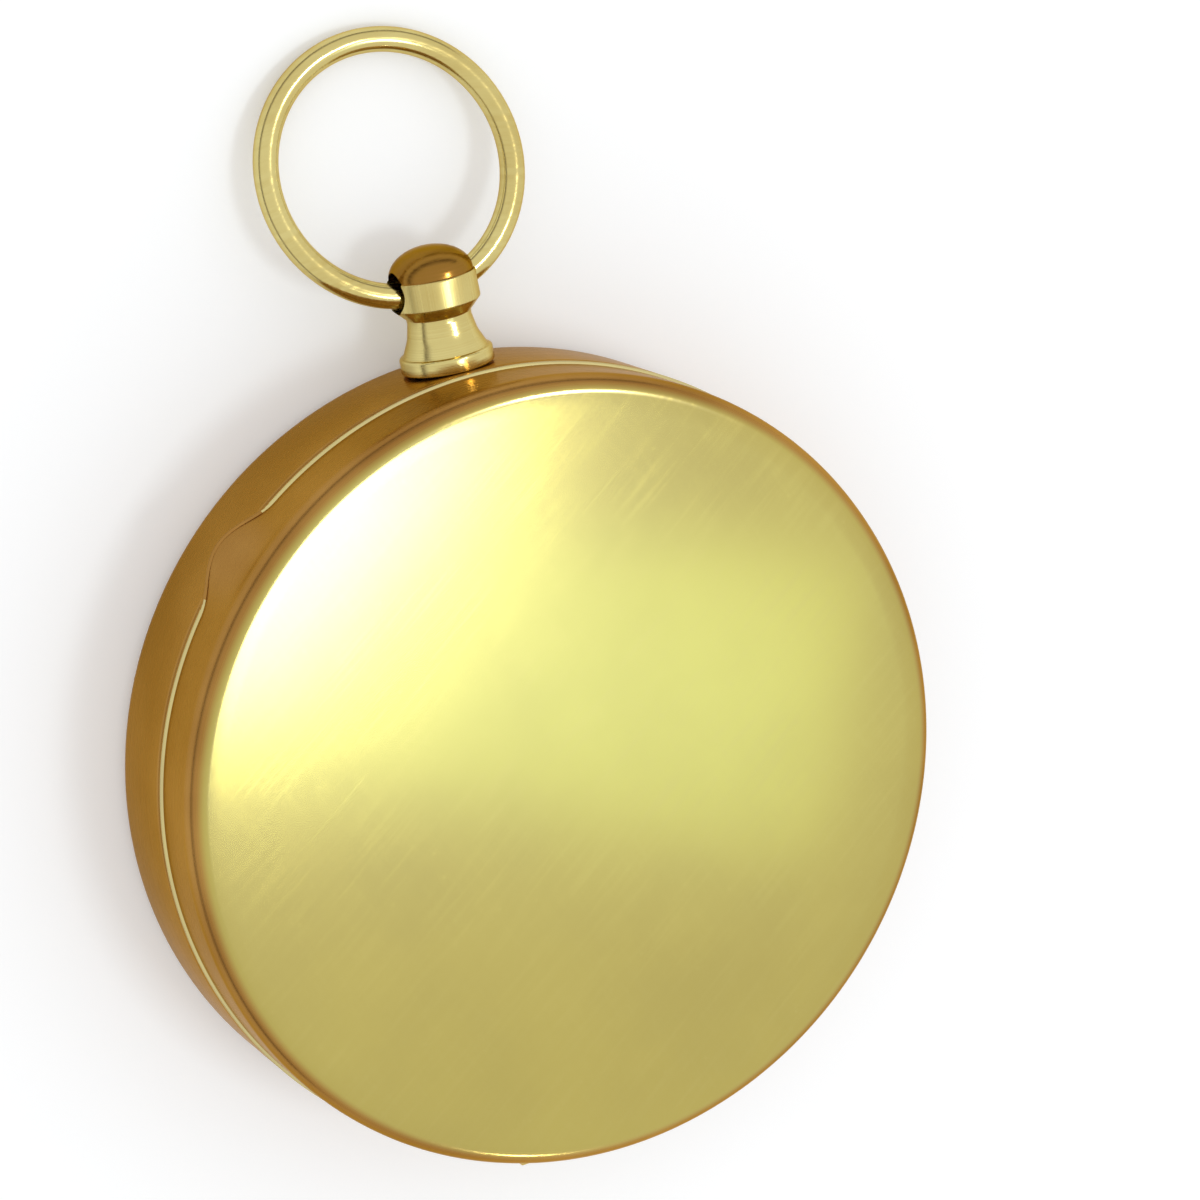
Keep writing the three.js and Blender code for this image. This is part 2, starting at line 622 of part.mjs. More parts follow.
addCase();
addHinge();
addLid();
addPendant();
addBow();
addCapsule();
addBezel();
addPivot();
addNeedle();

export default compass;
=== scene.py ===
"""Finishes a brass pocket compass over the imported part: case, lid, pendant, dial, bezel and needle."""

import json
import math

import bmesh
import bpy
from mathutils import Matrix, Vector

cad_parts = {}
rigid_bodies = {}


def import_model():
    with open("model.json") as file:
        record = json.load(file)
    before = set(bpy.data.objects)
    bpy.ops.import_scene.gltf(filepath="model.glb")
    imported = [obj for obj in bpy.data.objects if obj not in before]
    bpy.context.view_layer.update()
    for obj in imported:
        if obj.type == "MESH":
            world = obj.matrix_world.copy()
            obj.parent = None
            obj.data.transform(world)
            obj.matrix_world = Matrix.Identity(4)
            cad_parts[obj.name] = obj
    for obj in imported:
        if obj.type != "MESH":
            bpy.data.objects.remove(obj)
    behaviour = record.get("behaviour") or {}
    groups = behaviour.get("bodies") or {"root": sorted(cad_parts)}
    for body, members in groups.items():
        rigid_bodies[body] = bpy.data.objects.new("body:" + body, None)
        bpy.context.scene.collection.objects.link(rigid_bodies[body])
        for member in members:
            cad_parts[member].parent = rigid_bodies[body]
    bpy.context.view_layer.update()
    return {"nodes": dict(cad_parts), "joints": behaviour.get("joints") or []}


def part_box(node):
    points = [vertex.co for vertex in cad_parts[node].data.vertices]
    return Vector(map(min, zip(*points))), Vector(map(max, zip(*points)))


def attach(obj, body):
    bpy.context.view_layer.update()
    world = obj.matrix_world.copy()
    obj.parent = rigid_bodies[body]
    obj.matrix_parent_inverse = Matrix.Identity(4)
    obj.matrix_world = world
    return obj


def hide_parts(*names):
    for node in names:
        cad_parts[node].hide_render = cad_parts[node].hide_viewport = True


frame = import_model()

bl_info = {
    "name": "Pocket compass",
    "version": (1, 0, 0),
    "blender": (4, 5, 0),
    "location": "View3D > Sidebar > Compass",
    "description": "Builds the case, lid, pendant, dial, bezel and needle of a pocket compass",
    "category": "Object",
}

CASE_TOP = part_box("case_cup")[1]
LID_RIM, LID_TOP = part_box("lid_shell")
DIAL_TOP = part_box("dial_plate")[1]
CRYSTAL_LOW, CRYSTAL_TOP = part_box("crystal")
BEZEL_LOW, BEZEL_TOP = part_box("bezel_ring")
JOINT_AT = {joint["name"]: Vector(joint["pos_m"]) for joint in frame["joints"]}

MM = 0.001
TO_MM = 1000
BORE = JOINT_AT["bow_swing"] * TO_MM
HINGE_AXIS = JOINT_AT["lid_hinge"] * TO_MM

FULL_TURN = 2 * math.pi
QUARTER = math.pi / 2
BEZEL_NORTH = math.radians(150)
INDEX_AT = math.radians(267)
DIAL_NORTH = math.radians(270)
BROKEN_EDGE = math.radians(50)
SHARP_EDGE = math.radians(35)

# Fixed sizes, in millimetres
WALL_SHRINK = 0.002
RIM_GAP = 0.05
BEAD_TOP = 0.3
LEDGE = 0.18
LEDGE_TOP = 0.36
LIP_PLAY = 0.1
LIP_T = 0.6
LIP_RISE = 0.7
SHANK_HOLE_R = 1.25
BORE_R = 1.3
NOTCH_R = 1.2
NOTCH_LENGTH = 13.2
BUSH_HOLE_R = 0.85
DIAL_T = 0.35
CAPSULE_R = 18.4
CAPSULE_BORE_R = 17.6
CAPSULE_FOOT_R = 13
CAPSULE_FLANGE_R = 23.3
BEZEL_BORE_R = 18.55
SEAT_GAP = 0.02

# Distances below which corners are one, in millimetres
SAME_PLACE = 1e-4
SLIVER = 0.0002
FACET_GAP = 2e-3

# Print, in millimetres
PRINT_T = 0.012
PRINT_SINK = 0.002
LAYER_RISE = 0.008
LETTER_GAP = 0.1

# Depth of marks and waves in a finish, in metres
MARK_DEPTH = 0.00002
WAVE_DEPTH = 0.0001

WINDS = ["NE", "E", "SE", "S", "SW", "W", "NW"]
WIND_BEARINGS = [45 * k for k in range(1, 8)]
HALF_WIND = 22.5
HALF_WIND_BEARINGS = [HALF_WIND + 45 * k for k in range(8)]


def length(name, description, default):
    """A size that a user may change."""
    return bpy.props.FloatProperty(
        name=name, description=description, default=default, precision=5, unit="LENGTH", subtype="DISTANCE"
    )


def angle(name, description, degrees):
    """An angle that a user may change."""
    return bpy.props.FloatProperty(
        name=name, description=description, default=math.radians(degrees), unit="ROTATION", subtype="ANGLE"
    )


def tint(name, description, default):
    """A colour that a user may change."""
    return bpy.props.FloatVectorProperty(
        name=name, description=description, default=(*default, 1.0), size=4, min=0.0, max=1.0, subtype="COLOR"
    )


class CompassSizes(bpy.types.PropertyGroup):
    """Sizes of the compass"""

    case_radius: length("Case radius", "Outside radius of case and lid", CASE_TOP.x - WALL_SHRINK * MM)
    wall: length("Wall", "Thickness of the sheet brass", 0.00065)
    seam_height: length("Seam height", "Height at which the lid meets the case", LID_RIM.z - RIM_GAP * MM)
    lid_height: length("Lid height", "Height of the middle of the lid", LID_TOP.z)
    lid_crown: length("Lid crown", "Rise of the lid from its edge to its middle", 0.00045)
    lid_fillet: length("Lid fillet", "Radius of the lid's edge", 0.0012)
    back_fillet: length("Back fillet", "Radius of the edge of the case back", 0.0016)
    thumb_angle: angle("Thumb lip place", "From the pendant round to the thumb lip", 43.2)
    thumb_width: length("Thumb lip width", "Length of the thumb lip along the rim", 0.0082)
    thumb_reach: length("Thumb lip reach", "How far the thumb lip stands out of the wall", 0.00115)
    ring_radius: length("Ring radius", "Radius of the ring, to the middle of its wire", 0.007868)
    ring_wire: length("Ring wire", "Radius of the ring's wire", 0.00078)
    ring_lean: angle("Ring lean", "Lean of the ring in its own plane", 4.5)
    dial_radius: length("Dial radius", "Radius of the printed dial", DIAL_TOP.x)
    scale_slope: angle("Scale slope", "Fall of the bezel's face towards its edge", 13)
    lugs: bpy.props.IntProperty(
        name="Lugs", description="Grip lugs round the bezel", default=36, min=12, max=72
    )


class CompassColours(bpy.types.PropertyGroup):
    """Colours of the compass"""

    lid_brass: tint("Lid brass", "Polished brass of the lid's top", (0.45, 0.36, 0.035))
    lid_deep: tint("Lid shade", "Duller patches of the lid's top", (0.40, 0.315, 0.028))
    # The walls' warm brass and its duller patches are darkened to brown as painted shade, for the dark
    # surroundings the walls reflect.
    wall_brass: tint("Wall brass", "Warm brass of the walls", (0.42, 0.225, 0.058))
    wall_deep: tint("Wall shade", "Duller patches of the walls", (0.31, 0.15, 0.034))
    inside_brass: tint("Inside brass", "Brushed brass inside the lid", (0.56, 0.40, 0.17))
    turned_brass: tint("Turned brass", "Brass of the pendant, the ring and the hinge", (0.66, 0.565, 0.23))
    turned_deep: tint("Turned shade", "Duller patches of the turned brass", (0.50, 0.37, 0.11))
    # The dome's dark brown is painted shade, for the dark surroundings the dome reflects.
    dome_brass: tint("Dome brass", "Darkened brass of the pendant's dome", (0.27, 0.14, 0.02))
    # Lighter brass: wear where it lightens the scratches on the lid's top, and a painted highlight on the
    # ledge above the lid's bead, for the bright line at the seam.
    edge_brass: tint("Edge brass", "Bright brass of worn edges", (0.55, 0.46, 0.22))
    glancing: tint("Glancing brass", "Tint of all brass at a glancing angle", (0.86, 0.68, 0.42))
    clear: tint("Clear plastic", "Tint of the clear mouldings", (0.95, 0.945, 0.925))
    silver: tint("Capsule silver", "Mirror on the capsule's inner wall", (0.82, 0.8, 0.7))
    scale_grey: tint("Scale grey", "Paint of the bezel's scale", (0.215, 0.207, 0.182))
    dial_yellow: tint("Dial yellow", "Ground of the dial", (0.66, 0.585, 0.155))
    print_red: tint("Red", "Red ink", (0.46, 0.025, 0.018))
    print_orange: tint("Orange", "Ink of the fine lines of the dial", (0.47, 0.085, 0.014))
    print_brown: tint("Brown", "Ink of the disc and the ring of the dial", (0.25, 0.10, 0.018))
    print_black: tint("Black", "Black ink and the needle's paint", (0.012, 0.011, 0.010))
    bearing_grey: tint("Bearing grey", "Dark metal of the needle's cap", (0.2, 0.195, 0.185))
    steel: tint("Steel", "Ground steel of the pivot", (0.5, 0.5, 0.5))
    foam_grey: tint("Foam grey", "Foam under the capsule", (0.42, 0.40, 0.34))


def sizes():
    """The sizes in millimetres, with angles in radians."""
    props = bpy.context.scene.compass_sizes
    plain = ("thumb_angle", "ring_lean", "scale_slope", "lugs")
    names = CompassSizes.__annotations__
    return {name: getattr(props, name) * (1 if name in plain else TO_MM) for name in names}


def colour(name):
    """One of the colours."""
    return tuple(getattr(bpy.context.scene.compass_colours, name))


# Shapes, in millimetres


def wire(corners, closed, segments):
    """A line in the XZ plane through corners of (radius, height, rounding)."""
    bm = bmesh.new()
    verts = [bm.verts.new((r, 0, z)) for r, z, _ in corners]
    count = len(verts)
    for i in range(count if closed else count - 1):
        bm.edges.new((verts[i], verts[(i + 1) % count]))
    rounded = []
    for i, (_, _, rounding) in enumerate(corners):
        if rounding:
            before, here, after = (verts[(i + k) % count].co for k in (-1, 0, 1))
            bend = (here - before).angle(after - here)
            rounded.append((verts[i], rounding * math.tan(bend / 2)))
    for vert, offset in rounded:
        bmesh.ops.bevel(
            bm,
            geom=[vert],
            offset=offset,
            offset_type="OFFSET",
            segments=segments,
            profile=0.5,
            affect="VERTICES",
            material=-1,
        )
    return bm


def spun(bm, steps):
    """The line of bm turned about Z."""
    geom = bm.verts[:] + bm.edges[:]
    bmesh.ops.spin(
        bm, geom=geom, cent=(0, 0, 0), axis=(0, 0, 1), angle=FULL_TURN, steps=steps, use_merge=True
    )
    bmesh.ops.remove_doubles(bm, verts=bm.verts[:], dist=SAME_PLACE)
    bmesh.ops.recalc_face_normals(bm, faces=bm.faces[:])
    return bm


def turned(corners, steps=192, closed=False, segments=4):
    """A solid turned about Z."""
    return spun(wire(corners, closed, segments), steps)


def rod(radius, depth):
    """A plain rod along Z."""
    bm = bmesh.new()
    bmesh.ops.create_cone(bm, cap_ends=True, segments=64, radius1=radius, radius2=radius, depth=depth)
    return bm


def move(bm, *matrices):
    """bm put through the matrices, the first one first."""
    for matrix in matrices:
        bmesh.ops.transform(bm, matrix=matrix, verts=bm.verts[:])
    return bm


def turn(axis, radians):
    """A turn about an axis."""
    return Matrix.Rotation(radians, 4, axis)


def shift(x, y, z):
    """A straight move."""
    return Matrix.Translation((x, y, z))


def around(bm, count):
    """bm repeated evenly about Z."""
    geom = bm.verts[:] + bm.edges[:] + bm.faces[:]
    share = FULL_TURN * (count - 1) / count
    bmesh.ops.spin(
        bm, geom=geom, cent=(0, 0, 0), axis=(0, 0, 1), angle=share, steps=count - 1, use_duplicate=True
    )
    return bm


def mesh_from(bm, name):
    """A new mesh of bm, which is used up."""
    mesh = bpy.data.meshes.new(name)
    bm.to_mesh(mesh)
    bm.free()
    return mesh


def placed(name, data):
    """A new object in the scene."""
    obj = bpy.data.objects.new(name, data)
    bpy.context.scene.collection.objects.link(obj)
    return obj


def discard(obj):
    """Removes an object and its data."""
    data = obj.data
    bpy.data.objects.remove(obj)
    bpy.data.batch_remove([data])


def joined(*parts):
    """One bmesh of several."""
    whole = bmesh.new()
    for part in parts:
        mesh = mesh_from(part, "part")
        whole.from_mesh(mesh)
        bpy.data.meshes.remove(mesh)
    return whole


def mesh_of(obj):
    """A bmesh of what obj shows, and obj is removed."""
    bpy.context.view_layer.update()
    shown = obj.evaluated_get(bpy.context.evaluated_depsgraph_get())
    bm = bmesh.new()
    bm.from_mesh(shown.to_mesh())
    shown.to_mesh_clear()
    discard(obj)
    return bm


def cut(bm, *tools):
    """bm less the tools."""
    body, *cutters = [placed("loose", mesh_from(part, "loose")) for part in (bm, *tools)]
    for cutter in cutters:
        modifier = body.modifiers.new("cut", "BOOLEAN")
        modifier.operation = "DIFFERENCE"
        modifier.solver = "EXACT"
        modifier.object = cutter
    made = mesh_of(body)
    for cutter in cutters:
        discard(cutter)
    if not made.faces:
        raise RuntimeError("a cut left nothing")
    bmesh.ops.dissolve_degenerate(made, dist=SLIVER, edges=made.edges)
    return made


def soften(bm, width):
    """Breaks the sharp edges of bm."""
    edges = [e for e in bm.edges if e.is_manifold and e.calc_face_angle() > BROKEN_EDGE]
    bmesh.ops.bevel(
        bm,
        geom=edges,
        offset=width,
        offset_type="OFFSET",
        segments=2,
        profile=0.5,
        affect="EDGES",
        clamp_overlap=True,
        material=-1,
    )
    return bm


def copy_of(node):
    """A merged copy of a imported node, in millimetres."""
    bm = bmesh.new()
    bm.from_mesh(frame["nodes"][node].data)
    bmesh.ops.scale(bm, vec=(TO_MM, TO_MM, TO_MM), verts=bm.verts[:])
    bmesh.ops.remove_doubles(bm, verts=bm.verts[:], dist=FACET_GAP)
    bmesh.ops.dissolve_limit(bm, angle_limit=math.radians(1), verts=bm.verts[:], edges=bm.edges[:])
    return bm


def bar(left, low, right, high):
    """The corners of an upright rectangle."""
    return [(left, low), (right, low), (right, high), (left, high)]


def mirror(points):
    """The points of half an outline on the other side of the Y axis, in reverse order."""
    return [(-x, y, corner) for x, y, corner in reversed(points)]


def plate(points):
    """A flat plate of print with corners at points."""
    bm = bmesh.new()
    bm.faces.new([bm.verts.new((x, y, 0)) for x, y in points])
    raised = bmesh.ops.extrude_face_region(bm, geom=bm.faces[:])["geom"]
    verts = [g for g in raised if isinstance(g, bmesh.types.BMVert)]
    bmesh.ops.translate(bm, vec=(0, 0, PRINT_T), verts=verts)
    bmesh.ops.recalc_face_normals(bm, faces=bm.faces[:])
    return bm


def band(inner, outer, steps=144):
    """A flat ring of print about Z."""
    corners = [(inner, 0, 0), (outer, 0, 0), (outer, PRINT_T, 0), (inner, PRINT_T, 0)]
    return turned(corners, steps, closed=True)


def filled(curve):
    """A bmesh of a curve or a text, with its seams closed."""
    bm = mesh_of(placed("flat", curve))
    bmesh.ops.remove_doubles(bm, verts=bm.verts[:], dist=SAME_PLACE)
    return bm


def leaf(points, grow=0.0):
    """A flat plate of print with a smooth outline. Points are (x, y, corner)."""
    curve = bpy.data.curves.new("leaf", "CURVE")
    curve.dimensions = "2D"
    curve.fill_mode = "BOTH"
    curve.extrude = PRINT_T / 2
    curve.offset = grow
    curve.resolution_u = 6
    spline = curve.splines.new("BEZIER")
    spline.bezier_points.add(len(points) - 1)
    spline.use_cyclic_u = True
    for point, (x, y, corner) in zip(spline.bezier_points, points):
        point.co = (x, y, 0)
        point.handle_left_type = point.handle_right_type = "VECTOR" if corner else "AUTO"
    return move(filled(curve), shift(0, 0, PRINT_T / 2))


def letters(text, height, weight):
    """Flat letters of a height, in the middle of the origin."""
    curve = bpy.data.curves.new(text, "FONT")
    curve.body = text
    curve.size = 1
    curve.offset = weight
    curve.extrude = 0.01
    curve.resolution_u = 3
    bm = filled(curve)
    xs, ys, zs = ([v.co[k] for v in bm.verts] for k in range(3))
    middle = shift(-(min(xs) + max(xs)) / 2, -(min(ys) + max(ys)) / 2, -min(zs))
    grow = height / (max(ys) - min(ys))
    return move(bm, middle, Matrix.Diagonal((grow, grow, PRINT_T / (max(zs) - min(zs)), 1)))


SERIF_STROKES = {
    "N": [
        bar(0.12, 0, 0.19, 1),
        bar(0.72, 0, 0.79, 1),
        [(0.08, 1), (0.27, 1), (0.79, 0), (0.72, 0)],
        bar(0, 0, 0.31, 0.06),
        bar(0.0, 0.94, 0.2, 1),
        bar(0.6, 0.94, 0.91, 1),
    ],
    "E": [
        bar(0.1, 0, 0.27, 1),
        bar(0, 0, 0.7, 0.06),
        bar(0, 0.94, 0.68, 1),
        bar(0.2, 0.48, 0.55, 0.54),
        bar(0.62, 0.72, 0.68, 1),
        bar(0.64, 0, 0.7, 0.3),
        bar(0.5, 0.38, 0.55, 0.64),
    ],
    "W": [
        [(0.08, 1), (0.28, 1), (0.5, 0), (0.4, 0)],
        [(0.4, 0), (0.5, 0), (0.72, 1), (0.65, 1)],
        [(0.58, 1), (0.77, 1), (0.99, 0), (0.89, 0)],
        [(0.89, 0), (0.99, 0), (1.26, 1), (1.19, 1)],
        bar(0, 0.94, 0.38, 1),
        bar(0.5, 0.94, 0.85, 1),
        bar(1.1, 0.94, 1.36, 1),
    ],
}


def serif_letter(text):
    """One letter of unit height with serifs, from the left of the origin on, and its width."""
    if text == "S":
        bow = move(letters("S", 1, 0.02), shift(0.33, 0.5, 0))
        serifs = [plate(bar(0.56, 0.68, 0.62, 0.98)), plate(bar(0.02, 0.02, 0.08, 0.32))]
        return joined(bow, *serifs), 0.62 + LETTER_GAP
    strokes = SERIF_STROKES[text]
    return joined(*(plate(s) for s in strokes)), max(x for s in strokes for x, _ in s) + LETTER_GAP


def serif_letters(text, height):
    """A flat word with serifs, in the middle of the origin."""
    parts, across = [], 0.0
    for one in text:
        part, width = serif_letter(one)
        parts.append(move(part, shift(across, 0, 0)))
        across += width
    middle = shift(-(across - LETTER_GAP) / 2, -0.5, 0)
    return move(joined(*parts), middle, Matrix.Diagonal((height, height, 1, 1)))


def on_ring(bm, radius, place, surface):
    """Lays bm on a turned surface, with its top outwards and its middle at an angle."""
    for vert in bm.verts:
        x, y, z = vert.co
        a = place - x / radius
        r = radius + y
        vert.co = (r * math.cos(a), r * math.sin(a), surface(r) + z)
    return bm


def add_piece(bm, name, body, finishes, nodes=()):
    """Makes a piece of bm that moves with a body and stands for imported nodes."""
    if not bm.faces:
        raise RuntimeError(f"{name} has no faces")
    bmesh.ops.scale(bm, vec=(MM, MM, MM), verts=bm.verts[:])
    mesh = mesh_from(bm, name)
    mesh.shade_smooth()
    mesh.set_sharp_from_angle(angle=SHARP_EDGE)
    for one in finishes:
        mesh.materials.append(finish(one))
    obj = placed(name, mesh)
    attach(obj, body)
    if nodes:
        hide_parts(*nodes)


# Finishes


def put(tree, kind, inputs=None, **settings):
    """A node with its settings and inputs, which are values or sockets."""
    made = tree.nodes.new(kind)
    for key, value in settings.items():
        setattr(made, key, value)
    for name, value in (inputs or {}).items():
        if isinstance(value, bpy.types.NodeSocket):
            tree.links.new(value, made.inputs[name])
        else:
            made.inputs[name].default_value = value
    return made


def maths(tree, operation, a, b):
    """Two numbers put through one operation."""
    return put(tree, "ShaderNodeMath", {0: a, 1: b}, operation=operation).outputs[0]


def summed(tree, a, share_a, b, share_b):
    """A share of a and a share of b, added."""
    first = maths(tree, "MULTIPLY", a, share_a)
    second = maths(tree, "MULTIPLY", b, share_b)
    return maths(tree, "ADD", first, second)


def ramp(tree, value, low, high, to_low=0.0, to_high=1.0, smooth=False):
    """value from one range to another."""
    inputs = {"Value": value, "From Min": low, "From Max": high, "To Min": to_low, "To Max": to_high}
    kind = "SMOOTHSTEP" if smooth else "LINEAR"
    return put(tree, "ShaderNodeMapRange", inputs, interpolation_type=kind).outputs["Result"]


def blend(tree, share, a, b):
    """Colour a going over to colour b."""
    return put(tree, "ShaderNodeMix", {0: share, 6: a, 7: b}, data_type="RGBA").outputs[2]


def between(tree, share, a, b):
    """Number a going over to number b."""
    return put(tree, "ShaderNodeMix", {0: share, 2: a, 3: b}).outputs[0]


def effect(name, inputs, output):
    """A new shader node group, its tree and its two ends. An input without a number is a vector."""
    tree = bpy.data.node_groups.new(name, "ShaderNodeTree")
    for socket, value in inputs.items():
        kind = "NodeSocketVector" if value is None else "NodeSocketFloat"
        made = tree.interface.new_socket(name=socket, in_out="INPUT", socket_type=kind)
        if value is not None:
            made.default_value = value
    tree.interface.new_socket(name=output, in_out="OUTPUT", socket_type="NodeSocketFloat")
    return tree, tree.nodes.new("NodeGroupInput").outputs, tree.nodes.new("NodeGroupOutput").inputs


def make_scratches(name):
    """Fine straight scratches: thin streaks of noise across one direction."""
    inputs = {"Vector": None, "Turn": 0.0, "Across": 4000.0, "Along": 120.0}
    tree, given, out = effect(name, inputs, "Scratch")
    facing = {"Vector": given["Vector"], "Angle": given["Turn"]}
    rotated = put(tree, "ShaderNodeVectorRotate", facing, rotation_type="Z_AXIS")
    scale = {"X": given["Across"], "Y": given["Along"], "Z": given["Along"]}
    stretch = put(tree, "ShaderNodeCombineXYZ", scale)
    pair = {0: rotated.outputs[0], 1: stretch.outputs[0]}
    spread = put(tree, "ShaderNodeVectorMath", pair, operation="MULTIPLY")
    noise = put(tree, "ShaderNodeTexNoise", {"Vector": spread.outputs[0], "Scale": 1.0, "Detail": 3.0})
    tree.links.new(ramp(tree, noise.outputs[0], 0.45, 0.78, smooth=True), out["Scratch"])
    return tree


def make_marks(name):
    """Turning marks: lines of noise along one distance."""
    tree, given, out = effect(name, {"Distance": 0.0, "Lines": 6000.0}, "Mark")
    place = maths(tree, "MULTIPLY", given["Distance"], given["Lines"])
    inputs = {"W": place, "Scale": 1.0, "Detail": 4.0}
    noise = put(tree, "ShaderNodeTexNoise", inputs, noise_dimensions="1D")
    tree.links.new(ramp(tree, noise.outputs[0], 0.3, 0.7), out["Mark"])
    return tree


def make_noise(name, output, scale, detail, low, high, smooth):
    """Noise of a scale, drawn out to run from 0 to 1."""
    tree, given, out = effect(name, {"Vector": None, "Scale": scale}, output)
    inputs = {"Vector": given["Vector"], "Scale": given["Scale"], "Detail": detail}
    noise = put(tree, "ShaderNodeTexNoise", inputs)
    tree.links.new(ramp(tree, noise.outputs[0], low, high, smooth=smooth), out[output])
    return tree


def make_patches(name):
    """Soft patches, for dull metal, worn print and uneven paint."""
    return make_noise(name, "Patch", 90.0, 5.0, 0.35, 0.7, smooth=True)


def make_specks(name):
    """Fine specks, for paint, paper and moulded plastic."""
    return make_noise(name, "Speck", 6000.0, 2.0, 0.3, 0.7, smooth=False)


def make_pits(name):
    """Small pits, scattered over a flat face."""
    tree, given, out = effect(name, {"Vector": None, "Scale": 300.0}, "Pit")
    inputs = {"Vector": given["Vector"], "Scale": given["Scale"]}
    cells = put(tree, "ShaderNodeTexVoronoi", inputs, voronoi_dimensions="2D")
    spot = ramp(tree, cells.outputs["Distance"], 0.02, 0.05, 1.0, 0.0)
    chance = put(tree, "ShaderNodeSeparateColor", {0: cells.outputs["Color"]}).outputs[0]
    few = maths(tree, "GREATER_THAN", chance, 0.6)
    tree.links.new(maths(tree, "MULTIPLY", spot, few), out["Pit"])
    return tree


EFFECTS = {
    "Fine scratches": make_scratches,
    "Turning marks": make_marks,
    "Soft patches": make_patches,
    "Fine specks": make_specks,
    "Small pits": make_pits,
}


def use(tree, name, inputs):
    """One of the shared effects, placed in a material."""
    group = bpy.data.node_groups.get(name) or EFFECTS[name](name)
    return put(tree, "ShaderNodeGroup", inputs, node_tree=group).outputs[0]


def finish_of(name, plain):
    """A new material, its tree, its Principled shader and the place on the piece."""
    material = bpy.data.materials.new(name)
    material.use_nodes = True
    tree = material.node_tree
    tree.nodes.clear()
    shader = put(tree, "ShaderNodeBsdfPrincipled", plain)
    output = put(tree, "ShaderNodeOutputMaterial")
    tree.links.new(shader.outputs[0], output.inputs["Surface"])
    place = put(tree, "ShaderNodeTexCoord").outputs["Object"]
    return material, tree, shader, place


def distance_from(tree, place, axis):
    """Distance from the piece's Z axis, or along an axis."""
    split = put(tree, "ShaderNodeSeparateXYZ", {0: place}).outputs
    if axis != "R":
        return split[axis]
    flat = put(tree, "ShaderNodeCombineXYZ", {"X": split["X"], "Y": split["Y"]}).outputs[0]
    return put(tree, "ShaderNodeVectorMath", {0: flat}, operation="LENGTH").outputs["Value"]


def bumped(tree, shader, height, strength, depth):
    """Lets a height shape the shader's surface."""
    bump = put(tree, "ShaderNodeBump", {"Height": height, "Strength": strength, "Distance": depth})
    tree.links.new(bump.outputs[0], shader.inputs["Normal"])


def lid_brass(name):
    """Lacquered brass: the scratched, polished top of the lid goes over to its warm, brushed wall, whose
    darker brown is painted shade.
    """
    plain = {"Metallic": 1.0, "Coat Roughness": 0.2, "Coat IOR": 1.75, "Specular Tint": colour("glancing")}
    material, tree, shader, place = finish_of(name, plain)
    radius = distance_from(tree, place, "R")
    edge = bpy.context.scene.compass_sizes.case_radius
    # The wall's painted-shade brown reaches 0.6 to 1.2 mm in from the edge and covers the lid's fillet as a
    # painted dark edge.
    wall_side, top_side = edge - 0.6 * MM, edge - 1.2 * MM
    top = ramp(tree, radius, wall_side, top_side, smooth=True)
    scratch = use(tree, "Fine scratches", {"Vector": place, "Turn": 0.95, "Across": 3600.0, "Along": 150.0})
    cross = use(tree, "Fine scratches", {"Vector": place, "Turn": -0.4, "Across": 5200.0, "Along": 420.0})
    mark = use(tree, "Turning marks", {"Distance": distance_from(tree, place, "Z"), "Lines": 7000.0})
    patch = use(tree, "Soft patches", {"Vector": place, "Scale": 75.0})
    pit = use(tree, "Small pits", {"Vector": place, "Scale": 330.0})
    fine = maths(tree, "MAXIMUM", summed(tree, scratch, 0.7, cross, 0.3), pit)
    polished = blend(tree, maths(tree, "MULTIPLY", patch, 0.7), colour("lid_brass"), colour("lid_deep"))
    polished = blend(tree, maths(tree, "MULTIPLY", fine, 0.06), polished, colour("edge_brass"))
    # The wall colour here is painted shade: brass darkened to brown.
    brushed = blend(tree, patch, colour("wall_brass"), colour("wall_deep"))
    tree.links.new(blend(tree, top, brushed, polished), shader.inputs["Base Color"])
    top_rough = ramp(tree, fine, 0.0, 1.0, 0.13, 0.18)
    wall_rough = ramp(tree, mark, 0.0, 1.0, 0.2, 0.34)
    tree.links.new(between(tree, top, wall_rough, top_rough), shader.inputs["Roughness"])
    tree.links.new(top, shader.inputs["Coat Weight"])
    bumped(tree, shader, between(tree, top, mark, fine), 0.015, MARK_DEPTH)
    return material


def brass(name, tone, deep, axis, lines, rough, spread, bump, patchy=0.6, anisotropy=0.0):
    """Brass with turning marks along an axis, or in rings where the axis is R."""
    plain = {"Metallic": 1.0, "Anisotropic": anisotropy, "Anisotropic Rotation": 0.25}
    material, tree, shader, place = finish_of(name, {**plain, "Specular Tint": colour("glancing")})
    mark = use(tree, "Turning marks", {"Distance": distance_from(tree, place, axis), "Lines": lines})
    patch = use(tree, "Soft patches", {"Vector": place, "Scale": 120.0})
    share = summed(tree, patch, patchy, mark, 0.25)
    tree.links.new(blend(tree, share, colour(tone), colour(deep)), shader.inputs["Base Color"])
    tree.links.new(ramp(tree, mark, 0.0, 1.0, rough, rough + spread), shader.inputs["Roughness"])
    bumped(tree, shader, mark, bump, MARK_DEPTH)
    if anisotropy:
        tangent = put(tree, "ShaderNodeTangent", direction_type="RADIAL", axis="Z")
        tree.links.new(tangent.outputs[0], shader.inputs["Tangent"])
    return material


